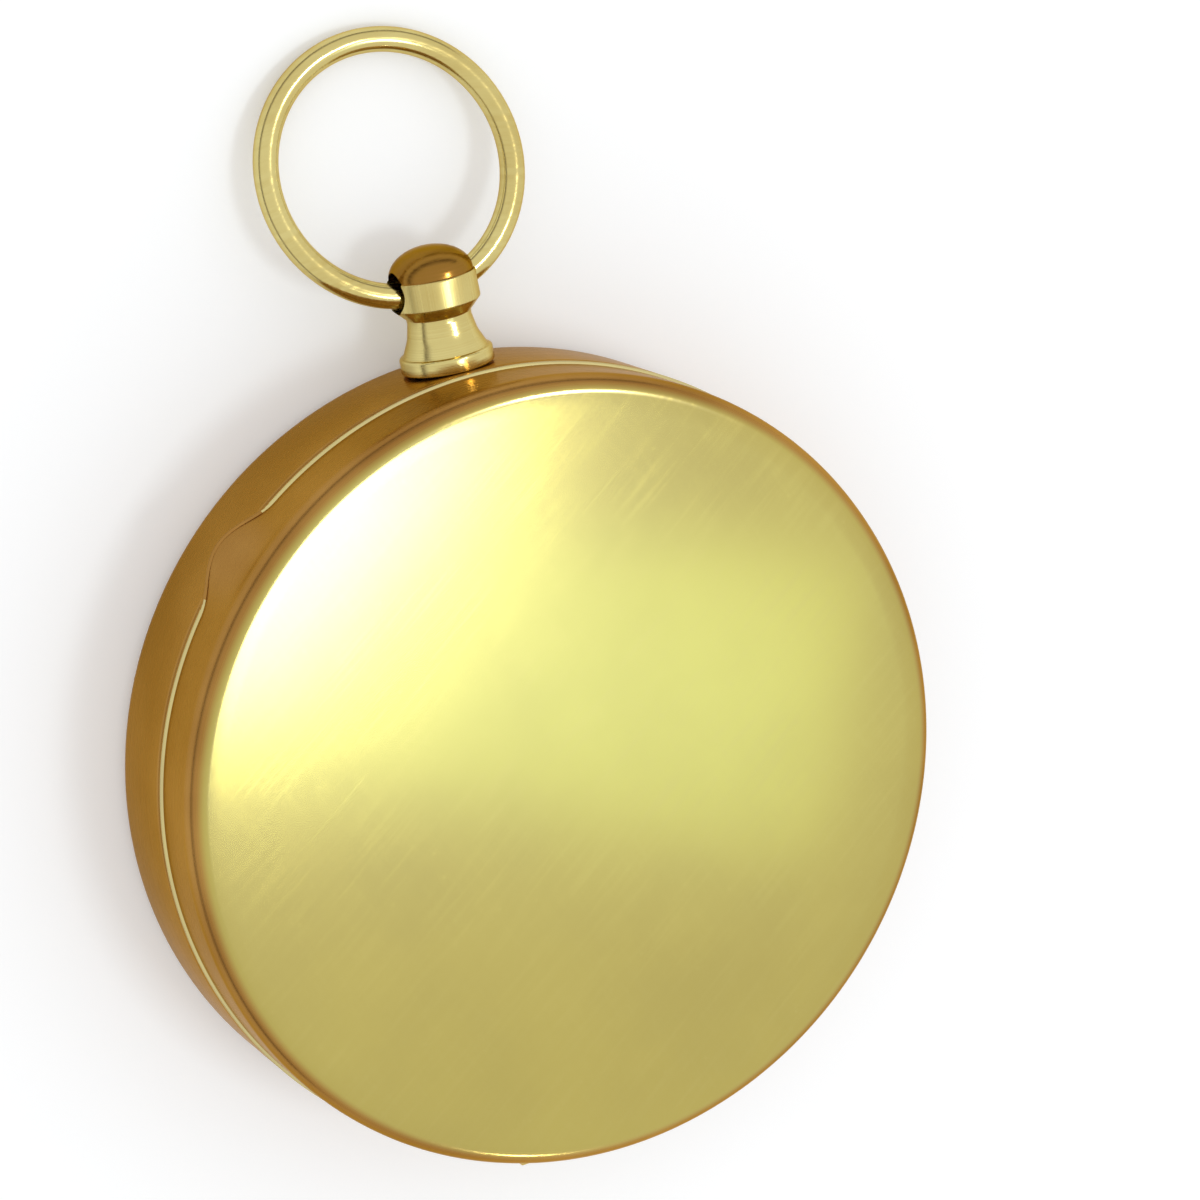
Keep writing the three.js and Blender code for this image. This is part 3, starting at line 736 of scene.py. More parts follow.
def clear(name, rough, waves, ior, clarity):
    """Clear or hazy plastic that lets lamps through, with faint moulding waves."""
    plain = {"Base Color": colour("clear"), "Transmission Weight": clarity, "IOR": ior}
    material, tree, shader, place = finish_of(name, plain)
    patch = use(tree, "Soft patches", {"Vector": place, "Scale": 160.0})
    tree.links.new(ramp(tree, patch, 0.0, 1.0, rough, rough * 1.6), shader.inputs["Roughness"])
    bumped(tree, shader, patch, waves, WAVE_DEPTH)
    lamp = put(tree, "ShaderNodeBsdfTransparent", {"Color": colour("clear")})
    shadow = put(tree, "ShaderNodeLightPath").outputs["Is Shadow Ray"]
    mixed = put(tree, "ShaderNodeMixShader", {0: shadow, 1: shader.outputs[0], 2: lamp.outputs[0]})
    output = next(n for n in tree.nodes if n.type == "OUTPUT_MATERIAL")
    tree.links.new(mixed.outputs[0], output.inputs["Surface"])
    return material


def matt(name, tone, rough, scale, depth, worn, plain):
    """Paint, ink, paper, foam or plain metal: specks in its colour, roughness and surface."""
    material, tree, shader, place = finish_of(name, plain)
    speck = use(tree, "Fine specks", {"Vector": place, "Scale": scale})
    patch = use(tree, "Soft patches", {"Vector": place, "Scale": 220.0})
    dull = tuple(c * 0.78 for c in colour(tone)[:3]) + (1.0,)
    share = summed(tree, speck, worn, patch, worn)
    tree.links.new(blend(tree, share, colour(tone), dull), shader.inputs["Base Color"])
    tree.links.new(ramp(tree, speck, 0.0, 1.0, rough, min(1.0, rough + 0.12)), shader.inputs["Roughness"])
    bumped(tree, shader, speck, 0.25, depth)
    return material


# Colour, shade, axis and number of the marks, roughness and its spread, bump, patches and streaks
BRASSES = {
    "wall_brass": ("wall_brass", "wall_deep", "Z", 7000.0, 0.2, 0.14, 0.1),
    "inside_brass": ("inside_brass", "wall_deep", "R", 9000.0, 0.34, 0.1, 0.1, 0.12, 1.0),
    "edge_brass": ("edge_brass", "turned_brass", "Z", 9000.0, 0.16, 0.1, 0.05),
    "dome_brass": ("dome_brass", "wall_deep", "Y", 9000.0, 0.16, 0.1, 0.08),
    "band_brass": ("turned_brass", "turned_deep", "X", 9000.0, 0.24, 0.14, 0.1),
    "turned_brass": ("turned_brass", "turned_deep", "Y", 9000.0, 0.13, 0.1, 0.08),
    "ring_brass": ("turned_brass", "turned_deep", "R", 2500.0, 0.12, 0.1, 0.05),
    "hinge_brass": ("turned_brass", "turned_deep", "X", 8000.0, 0.18, 0.12, 0.1),
    "bar_brass": ("inside_brass", "turned_deep", "R", 6000.0, 0.26, 0.12, 0.1),
}

# Roughness, strength of the moulding waves, refraction and clarity
CLEARS = {
    "capsule_clear": (0.03, 0.05, 1.49, 0.8),
    "crystal_clear": (0.012, 0.015, 1.2, 1.0),
    "crystal_edge": (0.2, 0.05, 1.3, 0.55),
    "bezel_clear": (0.06, 0.12, 1.49, 0.72),
}

INK = {"Specular IOR Level": 0.15}
METAL = {"Metallic": 1.0}

# Colour, roughness, scale of the specks, their depth in metres, wear and the shader's other inputs
MATTS = {
    "capsule_mirror": ("silver", 0.04, 3000.0, 0.000001, 0.1, METAL),
    "scale_paint": ("scale_grey", 0.4, 9000.0, 0.000004, 0.3, {"Metallic": 0.35}),
    "dial_paper": ("dial_yellow", 0.55, 7000.0, 0.000004, 0.14, {}),
    "red_ink": ("print_red", 0.45, 8000.0, 0.000003, 0.25, INK),
    "orange_ink": ("print_orange", 0.45, 8000.0, 0.000003, 0.25, INK),
    "brown_ink": ("print_brown", 0.5, 5000.0, 0.000003, 0.45, INK),
    "black_ink": ("print_black", 0.42, 8000.0, 0.000003, 0.25, INK),
    "needle_black": ("print_black", 0.3, 6000.0, 0.000005, 0.25, INK),
    "bearing": ("bearing_grey", 0.12, 4000.0, 0.000002, 0.25, METAL),
    "ground_steel": ("steel", 0.2, 5000.0, 0.000002, 0.25, METAL),
    "foam": ("foam_grey", 0.85, 2500.0, 0.0001, 0.5, {}),
}

MAKERS = ((lid_brass, {"lid_brass": ()}), (brass, BRASSES), (clear, CLEARS), (matt, MATTS))


def finish(name):
    """One of the finishes, made at its first use."""
    if name in bpy.data.materials:
        return bpy.data.materials[name]
    for make, rows in MAKERS:
        if name in rows:
            return make(name, *rows[name])
    raise KeyError(name)


# Pieces


def hinge_notch():
    """The round notch in both walls, where the hinge turns."""
    return move(rod(NOTCH_R, NOTCH_LENGTH), turn("Y", QUARTER), shift(0, HINGE_AXIS.y, HINGE_AXIS.z))


class COMPASS_OT_case(bpy.types.Operator):
    """Turn the case cup, with its lip, hinge notch and shank hole"""

    bl_idname = "compass.case"
    bl_label = "Case"

    def execute(self, context):
        s = sizes()
        radius, wall, seam, fillet = s["case_radius"], s["wall"], s["seam_height"], s["back_fillet"]
        inner = radius - wall
        lip, lip_top = inner - LIP_PLAY, seam + LIP_RISE
        lip_inner, lip_foot, lip_root = lip - LIP_T, seam - 0.45, seam - 1
        corners = [
            (0, 0, 0),
            (radius, 0, fillet),
            (radius, seam, 0.35),
            (lip, seam, 0.05),
            (lip, lip_top, 0.15),
            (lip_inner, lip_top, 0.12),
            (lip_inner, lip_foot, 0),
            (inner, lip_root, 0),
            (inner, wall, fillet - wall),
            (0, wall, 0),
        ]
        cup = turned(corners, 288, segments=7)
        through = 2 * wall + 2
        shank = move(rod(SHANK_HOLE_R, through), turn("X", QUARTER), shift(0, radius, BORE.z))
        # The case wall takes the walls' brass, darkened to brown as painted shade.
        add_piece(cut(cup, hinge_notch(), shank), "case_body", "case", ["wall_brass"], ["case_cup"])
        return {"FINISHED"}


class COMPASS_OT_lid(bpy.types.Operator):
    """Turn the crowned lid, flare its thumb lip and notch it for the hinge"""

    bl_idname = "compass.lid"
    bl_label = "Lid"

    def execute(self, context):
        s = sizes()
        radius, wall, fillet = s["case_radius"], s["wall"], s["lid_fillet"]
        edge = s["lid_height"] - s["lid_crown"]
        rim = s["seam_height"] + RIM_GAP
        inner = radius - wall
        chamfer = 0.12
        crown_r = radius - LEDGE - fillet
        corners = [
            (0, edge - wall, 0),
            (inner, edge - wall, fillet - wall),
            (inner, rim, 0.08),
            (radius - chamfer, rim, 0.05),
            (radius, rim + chamfer, 0.05),
            (radius, rim + BEAD_TOP, 0.08),
            (radius - LEDGE, rim + LEDGE_TOP, 0),
            (radius - LEDGE, edge, fillet),
            (0, edge, 0),
        ]
        bm = wire(corners, closed=False, segments=8)
        long_edges = [e for e in bm.edges if e.calc_length() > 3]
        bmesh.ops.subdivide_edges(bm, edges=long_edges, cuts=24)
        for vert in bm.verts:
            if vert.co.z > edge - wall - 0.01:
                vert.co.z += s["lid_crown"] * (1 - min(1.0, vert.co.x / crown_r) ** 2)
        spun(bm, 480)
        self.flare(bm, s, rim)
        lid = cut(bm, hinge_notch())
        lid.normal_update()
        for face in lid.faces:
            face.material_index = self.side(face, rim, radius, inner)
        finishes = ["lid_brass", "inside_brass", "edge_brass"]
        add_piece(lid, "lid_body", "lid", finishes, ["lid_shell"])
        return {"FINISHED"}

    def flare(self, bm, s, rim):
        """Draws the rim outwards over a short arc, in a sweep that starts high on the wall."""
        radius, reach = s["case_radius"], s["thumb_reach"]
        half = s["thumb_width"] / 2 / radius
        middle = QUARTER + s["thumb_angle"]
        land, scoop, hollow, skin = rim + 0.4, 3.3, 1.6, 0.3
        for vert in bm.verts:
            flat = Vector((vert.co.x, vert.co.y, 0))
            off = math.atan2(vert.co.y, vert.co.x) - middle
            off = (off + math.pi) % FULL_TURN - math.pi
            if abs(off) >= half or flat.length < radius - skin or vert.co.z > land + scoop:
                continue
            out = reach * min(1.0, (land + scoop - vert.co.z) / scoop) ** hollow
            out *= math.cos(off / half * math.pi / 2) ** 2
            vert.co += flat.normalized() * out

    def side(self, face, rim, radius, inner):
        """0 for the outside of the lid, 1 for its inside and 2 for the ledge above the bead, which takes
        lighter brass as a painted highlight.
        """
        away, near = -0.2, 0.05
        place = face.calc_center_median()
        flat = Vector((place.x, place.y, 0))
        if face.normal.z < away and place.z > rim + 1:
            return 1
        if 1 < flat.length < inner + near and face.normal.dot(flat.normalized()) < away:
            return 1
        height = place.z - rim
        on_ledge = BEAD_TOP - 0.1 < height < LEDGE_TOP + 0.02 and flat.length < radius + 0.02
        return 2 if on_ledge and face.normal.z > 0.15 else 0


class COMPASS_OT_hinge(bpy.types.Operator):
    """Break the edges of the hinge knuckles and of their pin"""

    bl_idname = "compass.hinge"
    bl_label = "Hinge"

    def execute(self, context):
        pieces = [
            ("case_hinge_knuckle_left", "hinge_barrel_left", "case", "brass", "hinge_brass"),
            ("case_hinge_knuckle_right", "hinge_barrel_right", "case", "brass", "hinge_brass"),
            ("lid_hinge_knuckle", "hinge_barrel_middle", "lid", "brass", "hinge_brass"),
            ("hinge_pin", "hinge_wire", "case", "plain_brass", "bar_brass"),
        ]
        for node, name, body, slot, look in pieces:
            add_piece(soften(copy_of(node), 0.05), name, body, [look], [node])
        return {"FINISHED"}


class COMPASS_OT_pendant(bpy.types.Operator):
    """Turn the pendant, bore it for the ring, and add its nut"""

    bl_idname = "compass.pendant"
    bl_label = "Pendant"

    def execute(self, context):
        radius = sizes()["case_radius"]
        shank_r, shank_end = 1.2, -2.3
        base_r, base_low, base_top = 2.9, 0.02, 0.95
        band_r, band_low, band_top = 2.75, 4.05, 5.75
        dome_r, dome_low, dome_rise = 2.62, 5.85, 1.75
        slopes = [math.radians(step) for step in range(0, 88, 8)]
        dome = [(dome_r * math.cos(slope), dome_low + dome_rise * math.sin(slope), 0) for slope in slopes]
        corners = [
            (0, shank_end, 0),
            (shank_r, shank_end, 0.1),
            (shank_r, base_low, 0),
            (base_r, base_low, 0.1),
            (base_r, base_top, 0.16),
            (2.66, 1.0, 0.05),
            (2.2, 2.0, 1.6),
            (2.0, 3.0, 0.5),
            (2.02, 3.3, 0.12),
            (band_r, band_low, 0.12),
            (band_r, band_top, 0.12),
            *dome,
            (0, dome_low + dome_rise, 0),
        ]
        knob = move(turned(corners, 96, segments=6), turn("X", -QUARTER), shift(0, radius, BORE.z))
        hole = move(rod(BORE_R, 8), turn("Y", QUARTER), shift(0, BORE.y, BORE.z))
        knob = cut(knob, hole)
        # Faces above the band take the dome's painted-shade brown. The band takes rougher brass.
        for face in knob.faces:
            along = face.calc_center_median().y - radius
            face.material_index = 2 if along > band_top + 0.05 else 1 if along > band_low - 0.05 else 0
        finishes = ["turned_brass", "band_brass", "dome_brass"]
        add_piece(knob, "pendant_knob", "case", finishes, ["pendant"])
        nut = soften(copy_of("pendant_nut"), 0.06)
        add_piece(nut, "pendant_hex_nut", "case", ["bar_brass"], ["pendant_nut"])
        return {"FINISHED"}


class COMPASS_OT_ring(bpy.types.Operator):
    """Bend the wire ring through the pendant's bore, with its far end on the table"""

    bl_idname = "compass.ring"
    bl_label = "Ring"

    def execute(self, context):
        s = sizes()
        radius, thick, lean = s["ring_radius"], s["ring_wire"], s["ring_lean"]
        slack, lift = 0.35, 0.02
        reach = radius * math.cos(lean) - slack
        droop = -math.asin((BORE.z - thick - lift) / (reach + radius))
        bm = bmesh.new()
        bmesh.ops.create_circle(bm, cap_ends=False, segments=32, radius=thick)
        move(bm, turn("X", QUARTER), shift(radius, 0, 0))
        spun(bm, 160)
        move(bm, shift(-radius * math.sin(lean), reach, 0), turn("X", droop), shift(0, BORE.y, BORE.z))
        add_piece(bm, "ring_wire", "bow", ["ring_brass"], ["bow_ring"])
        return {"FINISHED"}


class COMPASS_OT_capsule(bpy.types.Operator):
    """Mould the clear capsule and its crystal, over the foam pad"""

    bl_idname = "compass.capsule"
    bl_label = "Capsule"

    def execute(self, context):
        top = CRYSTAL_LOW.z * TO_MM
        floor = DIAL_TOP.z * TO_MM - DIAL_T
        base, foot = floor - 1, 0.95
        flange = top - 1.35
        flange_low = flange - 0.7
        corners = [
            (BUSH_HOLE_R, base, 0),
            (CAPSULE_FOOT_R, base, 0.2),
            (CAPSULE_FOOT_R, foot, 0.1),
            (CAPSULE_R, foot, 0.2),
            (CAPSULE_R, flange_low, 0.2),
            (CAPSULE_FLANGE_R, flange_low, 0.1),
            (CAPSULE_FLANGE_R, flange, 0.1),
            (CAPSULE_R, flange, 0.15),
            (CAPSULE_R, top, 0.05),
            (CAPSULE_BORE_R, top, 0.05),
            (CAPSULE_BORE_R, floor, 0.2),
            (BUSH_HOLE_R, floor, 0),
        ]
        housing = turned(corners, closed=True)
        for face in housing.faces:
            place = face.calc_center_median()
            inside = math.hypot(place.x, place.y) < CAPSULE_BORE_R + 0.1 and place.z > floor + 0.1
            face.material_index = int(inside and abs(face.normal.z) < 0.5)
        finishes = ["capsule_clear", "capsule_mirror"]
        add_piece(housing, "capsule_cup", "case", finishes, ["capsule_housing"])
        self.crystal(top)
        pad = soften(copy_of("mounting_pad"), 0.08)
        add_piece(pad, "foam_ring", "case", ["foam"], ["mounting_pad"])
        return {"FINISHED"}

    def crystal(self, seat):
        """The flat crystal with a rounded, frosted edge."""
        low, high = seat + 0.01, seat + 1
        radius = CRYSTAL_TOP.x * TO_MM
        flat_r = radius - 0.6
        corners = [
            (0, low, 0),
            (flat_r, low, 0),
            (radius, low, 0.05),
            (radius, high, 0.34),
            (flat_r, high, 0),
            (0, high, 0),
        ]
        glass = turned(corners, segments=5)
        for face in glass.faces:
            face.material_index = int(abs(face.normal.z) < 0.97)
        finishes = ["crystal_clear", "crystal_edge"]
        add_piece(glass, "crystal_disc", "case", finishes, ["crystal"])


class COMPASS_OT_dial(bpy.types.Operator):
    """Cut the dial and print its tick ring, letters, star and fleur-de-lis"""

    bl_idname = "compass.dial"
    bl_label = "Dial"

    def execute(self, context):
        top, radius = DIAL_TOP.z * TO_MM, sizes()["dial_radius"]
        low = top - DIAL_T
        corners = [(BUSH_HOLE_R, low, 0), (radius, low, 0), (radius, top, 0.06), (BUSH_HOLE_R, top, 0)]
        disc = turned(corners, closed=True)
        add_piece(disc, "dial_disc", "case", ["dial_paper"], ["dial_plate"])
        layers = [
            ("dial_print_brown", "brown_ink", [band(1.65, 8.4), band(11.95, 12.9)]),
            ("dial_print_lines", "orange_ink", self.lines()),
            ("dial_print_outlines", "black_ink", self.outlines()),
            ("dial_print_red", "red_ink", self.red()),
            ("dial_print_letters", "black_ink", self.lettering()),
        ]
        for layer, (name, ink, parts) in enumerate(layers):
            height = top - PRINT_SINK + layer * LAYER_RISE
            add_piece(move(joined(*parts), shift(0, 0, height)), name, "case", [ink])
        return {"FINISHED"}

    def at(self, bearing):
        """Turns a shape that points along +Y to a bearing of the dial."""
        return turn("Z", DIAL_NORTH - math.radians(bearing) - QUARTER)

    def at_each(self, bearings, make, *given):
        """One shape for each bearing."""
        return [move(make(*given), self.at(bearing)) for bearing in bearings]

    def lines(self):
        """The tick ring, the rays and the thin rings."""
        ticks = around(plate(bar(-0.06, 15.1, 0.06, 17.15)), 120)
        rays = around(plate(bar(-0.07, 8.4, 0.07, 11.9)), 8)
        rings = [(15.02, 15.2), (17.05, 17.25), (8.3, 8.55), (11.85, 12.05), (12.8, 13.0), (14.98, 15.06)]
        return [ticks, move(rays, self.at(HALF_WIND)), *(band(inner, outer) for inner, outer in rings)]

    def star(self, grow):
        """One point of the star, as a narrow kite."""
        foot, half, widest, tip = 3.3 - 2 * grow, 0.65 + grow, 4.9, 11.25 if grow else 9.3
        return plate([(0, foot), (half, widest), (0, tip), (-half, widest)])

    def fleur(self, grow=0.0):
        """The fleur-de-lis that marks north: a tall petal, two curled ones, a clasp and a foot."""
        petal = [(0, 14.3, True), (0.7, 12.8, False), (1.6, 11.4, False), (0.8, 10.0, False), (0, 8.8, True)]
        curl = [
            (0.5, 8.8, True),
            (1.5, 10.3, False),
            (2.7, 11.35, False),
            (4.0, 11.0, False),
            (4.35, 9.7, False),
            (3.6, 8.75, False),
            (2.75, 9.0, True),
            (3.2, 9.6, False),
            (2.75, 10.05, False),
            (1.9, 9.5, False),
            (1.3, 8.65, True),
        ]
        half_foot = [(0.3, 7.85, True), (0.85, 7.0, False)]
        foot = [*half_foot, (0, 5.4, True), *mirror(half_foot)]
        clasp = [(x, y, True) for x, y in bar(-1.35, 8.05, 1.35, 8.6)]
        shapes = (petal + mirror(petal[1:-1]), curl, mirror(curl), foot, clasp)
        return [move(leaf(shape, grow), self.at(0)) for shape in shapes]

    def outlines(self):
        """Black under the star and the fleur-de-lis, with leaves, scrolls and wedges between the points, and
        a black ring round the dial's edge that is painted shade.
        """
        line = 0.22
        spear = [(0, 4.2, True), (0.5, 5.6, False), (0, 7.4, True), (-0.5, 5.6, False)]
        stem = bar(-0.05, 3.4, 0.05, 4.3)
        scroll = joined(band(0.5, 0.58, steps=24), band(0.16, 0.26, steps=16))
        pair = joined(move(scroll.copy(), shift(1.05, 7.35, 0)), move(scroll, shift(-1.05, 7.35, 0)))
        wedge = plate([(-0.56, 13.4), (0.56, 13.4), (0, 15.95)])
        return [
            *self.at_each(WIND_BEARINGS, self.star, line),
            *self.at_each(HALF_WIND_BEARINGS, leaf, spear),
            move(around(pair, 8), self.at(HALF_WIND)),
            move(around(wedge, 8), self.at(HALF_WIND)),
            *self.at_each(HALF_WIND_BEARINGS, plate, stem),
            # The black ring from 17.12 to 17.4 mm is painted shade, for the shadowed gap between the dial's
            # edge and the capsule wall.
            joined(band(1.7, 2.5), band(17.12, 17.4)),
            *self.fleur(line + 0.02),
        ]

    def red(self):
        """The red of the star and the fleur-de-lis."""
        return [*self.at_each(WIND_BEARINGS, self.star, 0), *self.fleur()]

    def lettering(self):
        """The letters of the winds, with north left to the fleur-de-lis."""
        height, middle = 1.6, 14.0
        places = [DIAL_NORTH - math.radians(bearing) for bearing in WIND_BEARINGS]
        words = [serif_letters(text, height) for text in WINDS]
        return [on_ring(word, middle, place, lambda r: 0.0) for word, place in zip(words, places)]


class COMPASS_OT_bezel(bpy.types.Operator):
    """Mould the lugged clear bezel, set the grey scale in it and print its degrees"""

    bl_idname = "compass.bezel"
    bl_label = "Bezel"

    def execute(self, context):
        s = sizes()
        face_z, face_r = BEZEL_TOP.z * TO_MM, CRYSTAL_TOP.x * TO_MM + 0.15
        fall = math.tan(s["scale_slope"])

        def face(r):
            return face_z - (r - face_r) * fall

        low, outer = BEZEL_LOW.z * TO_MM, BEZEL_TOP.x * TO_MM
        root, scale_r, rim = outer - 0.5, outer - 0.75, face_r + 0.25
        lug_top, shelf = face(scale_r) + 0.05, low + 1.1
        groove, scale_t, play = 0.3, 0.28, 0.05
        corners = [
            (BEZEL_BORE_R, low, 0.05),
            (root, low, 0.12),
            (root, lug_top, 0.12),
            (scale_r, lug_top, 0.04),
            (scale_r, face(scale_r) - groove, 0),
            (rim, face(rim) - groove, 0),
            (rim, face_z, 0.08),
            (face_r, face_z, 0.08),
            (face_r, shelf, 0),
            (BEZEL_BORE_R, shelf, 0),
        ]
        ring = turned(corners, s["lugs"] * 20, closed=True, segments=3)
        self.lug(ring, s["lugs"], root, outer - root)
        add_piece(ring, "bezel_moulding", "bezel", ["bezel_clear"], ["bezel_ring"])
        inner, edge = rim + play, scale_r - play
        section = [
            (inner, face(inner) - scale_t, 0),
            (edge, face(edge) - scale_t, 0),
            (edge, face(edge), 0.05),
            (inner, face(inner), 0.05),
        ]
        scale = turned(section, 240, closed=True)
        add_piece(scale, "scale_ring", "bezel", ["scale_paint"], ["bezel_scale_ring"])
        black, red = self.degrees(face)
        add_piece(joined(*black), "scale_print_black", "bezel", ["black_ink"])
        add_piece(joined(*red), "scale_print_red", "bezel", ["red_ink"])
        return {"FINISHED"}

    def lug(self, bm, count, root, out):
        """Draws lugs out of the plain edge of the bezel. Half and flank are shares of the pitch."""
        pitch = FULL_TURN / count
        half, flank, depth = 0.215, 0.055, 0.2
        for vert in bm.verts:
            flat = Vector((vert.co.x, vert.co.y, 0))
            if flat.length < root - depth:
                continue
            off = abs((math.atan2(vert.co.y, vert.co.x) / pitch + 0.5) % 1 - 0.5)
            share = min(1.0, max(0.0, (half - off) / flank))
            share = share * share * (3 - 2 * share)
            vert.co += flat.normalized() * out * share * min(1.0, (flat.length - root + depth) / depth)

    def degrees(self, face):
        """Black ticks, numbers and letters, and the red north and index."""
        sink, tick_end, middle, index_r, north_r = 0.003, 22.98, 20.42, 21.5, 20.75

        def surface(r):
            return face(r) - sink

        def ticks(inner, width, count):
            bm = plate(bar(-width / 2, inner, width / 2, tick_end))
            for vert in bm.verts:
                vert.co.z += surface(math.hypot(vert.co.x, vert.co.y))
            return move(around(bm, count), turn("Z", BEZEL_NORTH - QUARTER))

        black = [ticks(21.9, 0.34, 180), ticks(21.45, 0.4, 36)]
        numbers = [(str(reading), reading, 1.8, 0.045) for reading in range(20, 360, 20) if reading != 180]
        winds = [("E", 90, 1.2, 0.04), ("S", 180, 1.7, 0.04), ("W", 270, 1.2, 0.04)]
        for text, reading, height, weight in numbers + winds:
            place = BEZEL_NORTH - math.radians(reading)
            black.append(on_ring(letters(text, height, weight), middle, place, surface))
        index = on_ring(plate(bar(-0.2, -0.6, 0.2, 0.6)), index_r, INDEX_AT, surface)
        return black, [on_ring(letters("N", 2.45, 0.06), north_r, BEZEL_NORTH, surface), index]


class COMPASS_OT_needle(bpy.types.Operator):
    """Stamp the needle, cap it, and set its pivot in the dial"""

    bl_idname = "compass.needle"
    bl_label = "Needle"

    def execute(self, context):
        blade = soften(copy_of("needle_blade"), 0.06)
        add_piece(blade, "needle_arrow", "needle", ["needle_black"], ["needle_blade"])
        collar = soften(copy_of("needle_collar"), 0.05)
        add_piece(collar, "needle_washer", "needle", ["needle_black"], ["needle_collar"])
        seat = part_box("needle_blade")[1].z * TO_MM + SEAT_GAP
        foot, top = (corner.z * TO_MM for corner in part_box("needle_cap"))
        tip = top - 0.75
        hub_r, brim_r = 1.1, 1.8
        cap = [
            (0, tip + 0.05, 0),
            (0.75, foot, 0.05),
            (hub_r, foot, 0.05),
            (hub_r, seat, 0),
            (brim_r, seat, 0.08),
            (brim_r, seat + 0.36, 0.12),
            (1.45, seat + 0.5, 0.1),
            (1.2, top - 0.12, 0.4),
            (0.5, top, 0.4),
            (0, top, 0),
        ]
        cap_bm = turned(cap, 96)
        add_piece(cap_bm, "needle_bearing_cap", "needle", ["bearing"], ["needle_cap"])
        self.pivot(tip)
        return {"FINISHED"}

    def pivot(self, tip):
        """The brass bush in the dial and the steel pin that carries the needle."""
        dial = DIAL_TOP.z * TO_MM
        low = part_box("pivot_post")[0].z * TO_MM
        hole_r, stem_r, brim_r, pin_r = 0.42, 0.8, 1.5, 0.4
        seat, bush_top = dial + SEAT_GAP, dial + 0.57
        bush = [
            (hole_r, low, 0),
            (stem_r, low, 0.08),
            (stem_r, seat, 0),
            (brim_r, seat, 0.05),
            (brim_r, dial + 0.27, 0.08),
            (1.1, bush_top, 0.1),
            (hole_r, bush_top, 0.04),
        ]
        bush_bm = turned(bush, 64, closed=True)
        add_piece(bush_bm, "pivot_socket", "case", ["bar_brass"], ["pivot_bush"])
        pin = [(0, low, 0), (pin_r, low, 0.05), (pin_r, tip - 1.05, 0.1), (0, tip, 0)]
        add_piece(turned(pin, 48), "pivot_pin", "case", ["ground_steel"], ["pivot_post"])


# Name, place, turn in degrees, width and height, power in watts and colour
LAMPS = (
    ("overhead_strip", (0.1375, -0.0785, 0.62), 33.5, (0.15, 0.1), 0.6, (0.85, 0.94, 1.0)),
    ("overhead_card", (0.228, -0.172, 0.62), -24, (0.22, 0.1), 0.09, (0.45, 0.7, 1.0)),
    ("rim_spark", (0.08, -0.6, 0.34), 0, (0.04, 0.04), 0.2, (1.0, 1.0, 1.0)),
    ("inside_spark", (0.25, 0.1, 0.55), 0, (0.03, 0.03), 0.9, (1.0, 1.0, 1.0)),
)


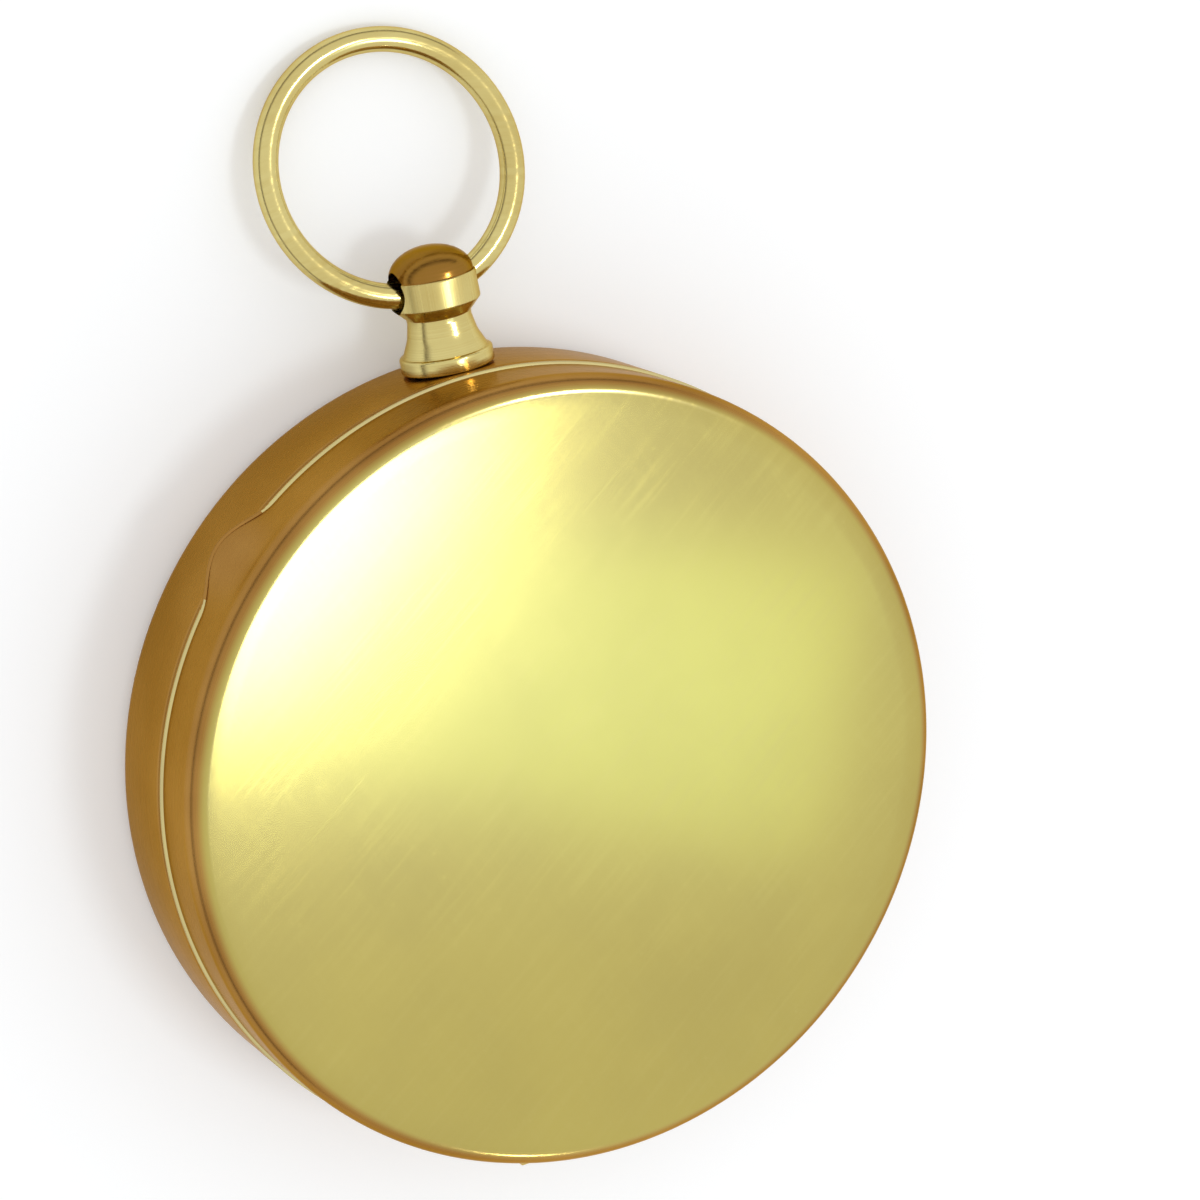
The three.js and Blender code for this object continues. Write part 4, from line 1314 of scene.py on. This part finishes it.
class COMPASS_OT_stage(bpy.types.Operator):
    """Lay the floor, hang the lamps and place the camera"""

    bl_idname = "compass.stage"
    bl_label = "Stage"

    def execute(self, context):
        self.floor()
        self.flag()
        self.world()
        for row in LAMPS:
            self.lamp(*row)
        self.camera()
        context.scene.view_settings.view_transform = "Standard"
        return {"FINISHED"}

    def stage_piece(self, bm, name, material):
        """A thing of the stage, in metres."""
        obj = placed(name, mesh_from(bm, name))
        obj.data.materials.append(material)
        return obj

    def seen(self, tree):
        """1 where the camera sees the background, also in metal and through glass."""
        path = put(tree, "ShaderNodeLightPath").outputs
        mirrored = maths(tree, "MAXIMUM", path["Is Camera Ray"], path["Is Glossy Ray"])
        return maths(tree, "MAXIMUM", mirrored, path["Is Transmission Ray"])

    def floor(self):
        """A plain white floor, just below the compass, that glows a little where it is seen."""
        half, drop, glow = 4, 0.00003, 0.17
        plain = {"Base Color": (0.9, 0.9, 0.9, 1), "Roughness": 0.9, "Specular IOR Level": 0.0}
        material, tree, shader, _ = finish_of("floor_white", {**plain, "Emission Color": (1, 1, 1, 1)})
        tree.links.new(maths(tree, "MULTIPLY", self.seen(tree), glow), shader.inputs["Emission Strength"])
        bm = bmesh.new()
        bmesh.ops.create_grid(bm, x_segments=1, y_segments=1, size=half)
        self.stage_piece(move(bm, shift(0, 0, -drop)), "floor", material)

    def flag(self):
        """A low dark screen, fading out upwards, that shows only in reflections."""
        plain = {"Base Color": (0.1, 0.06, 0.03, 1), "Roughness": 0.9, "Specular IOR Level": 0.0}
        material, tree, shader, place = finish_of("flag_brown", plain)
        low, high, away, dark = 0.01, 0.2, 0.5, 0.9
        start, sweep = math.radians(40), math.radians(200)
        fade = ramp(tree, distance_from(tree, place, "Z"), low, high, dark, 0.0, smooth=True)
        tree.links.new(fade, shader.inputs["Alpha"])
        bm = bmesh.new()
        bm.edges.new([bm.verts.new((away, 0, z)) for z in (low, high)])
        geom = bm.verts[:] + bm.edges[:]
        bmesh.ops.spin(bm, geom=geom, cent=(0, 0, 0), axis=(0, 0, 1), angle=sweep, steps=80)
        screen = self.stage_piece(move(bm, turn("Z", start)), "flag", material)
        screen.visible_camera = screen.visible_diffuse = screen.visible_shadow = False

    def world(self):
        """Soft white light from all round, and full white where it is seen."""
        world = bpy.data.worlds.new("studio")
        bpy.context.scene.world = world
        world.use_nodes = True
        tree = world.node_tree
        tree.nodes.clear()
        plain = {"Color": (1, 1, 1, 1)}
        back = put(tree, "ShaderNodeBackground", {**plain, "Strength": 0.85}).outputs[0]
        white = put(tree, "ShaderNodeBackground", {**plain, "Strength": 1.0}).outputs[0]
        mixed = put(tree, "ShaderNodeMixShader", {0: self.seen(tree), 1: back, 2: white})
        output = put(tree, "ShaderNodeOutputWorld")
        tree.links.new(mixed.outputs[0], output.inputs["Surface"])

    def lamp(self, name, place, degrees, size, power, light_colour):
        """A soft lamp that faces the compass. A spark shows in reflections and lights nothing matt."""
        light = bpy.data.lights.new(name, "AREA")
        light.shape = "RECTANGLE"
        light.size, light.size_y = size
        light.energy = power
        light.color = light_colour
        obj = placed(name, light)
        tilt = Vector((0, 0, 1)).rotation_difference(Vector(place)).to_matrix().to_4x4()
        obj.matrix_world = shift(*place) @ tilt @ turn("Z", math.radians(degrees))
        obj.visible_camera = False
        obj.visible_diffuse = not name.endswith("spark")

    def camera(self):
        """Looks down on the closed compass from the thumb lip's side, as in the photograph."""
        sensor, focal_px, frame_px = 36.0, 4086.9, 1200
        place = (-0.08487, 0.07884, 0.23437)
        forward = Vector((0.35694, -0.27577, -0.89249)).normalized()
        up = Vector((0.26797, 0.9455, -0.18498))
        data = bpy.data.cameras.new("camera")
        data.sensor_width = sensor
        data.lens = sensor * focal_px / frame_px
        data.clip_start = 0.01
        obj = placed("camera", data)
        right = forward.cross(up).normalized()
        up = right.cross(forward)
        facing = Matrix((right, up, -forward)).transposed().to_4x4()
        obj.matrix_world = shift(*place) @ facing
        bpy.context.scene.camera = obj


OPERATORS = (
    COMPASS_OT_case,
    COMPASS_OT_lid,
    COMPASS_OT_hinge,
    COMPASS_OT_pendant,
    COMPASS_OT_ring,
    COMPASS_OT_capsule,
    COMPASS_OT_dial,
    COMPASS_OT_bezel,
    COMPASS_OT_needle,
    COMPASS_OT_stage,
)


class COMPASS_PT_sidebar(bpy.types.Panel):
    """Sizes, colours and pieces of the compass"""

    bl_idname = "COMPASS_PT_sidebar"
    bl_label = "Pocket compass"
    bl_space_type = "VIEW_3D"
    bl_region_type = "UI"
    bl_category = "Compass"

    def draw(self, context):
        for group in (context.scene.compass_sizes, context.scene.compass_colours):
            column = self.layout.column()
            for name in type(group).__annotations__:
                column.prop(group, name)
        for operator in OPERATORS:
            self.layout.operator(operator.bl_idname)


CLASSES = (CompassSizes, CompassColours, *OPERATORS, COMPASS_PT_sidebar)


def register():
    for cls in CLASSES:
        bpy.utils.register_class(cls)
    bpy.types.Scene.compass_sizes = bpy.props.PointerProperty(type=CompassSizes)
    bpy.types.Scene.compass_colours = bpy.props.PointerProperty(type=CompassColours)


def unregister():
    del bpy.types.Scene.compass_colours
    del bpy.types.Scene.compass_sizes
    for cls in reversed(CLASSES):
        bpy.utils.unregister_class(cls)


def main():
    register()
    bpy.ops.compass.case()
    bpy.ops.compass.lid()
    bpy.ops.compass.hinge()
    bpy.ops.compass.pendant()
    bpy.ops.compass.ring()
    bpy.ops.compass.capsule()
    bpy.ops.compass.dial()
    bpy.ops.compass.bezel()
    bpy.ops.compass.needle()
    bpy.ops.compass.stage()


if __name__ == "__main__":
    main()
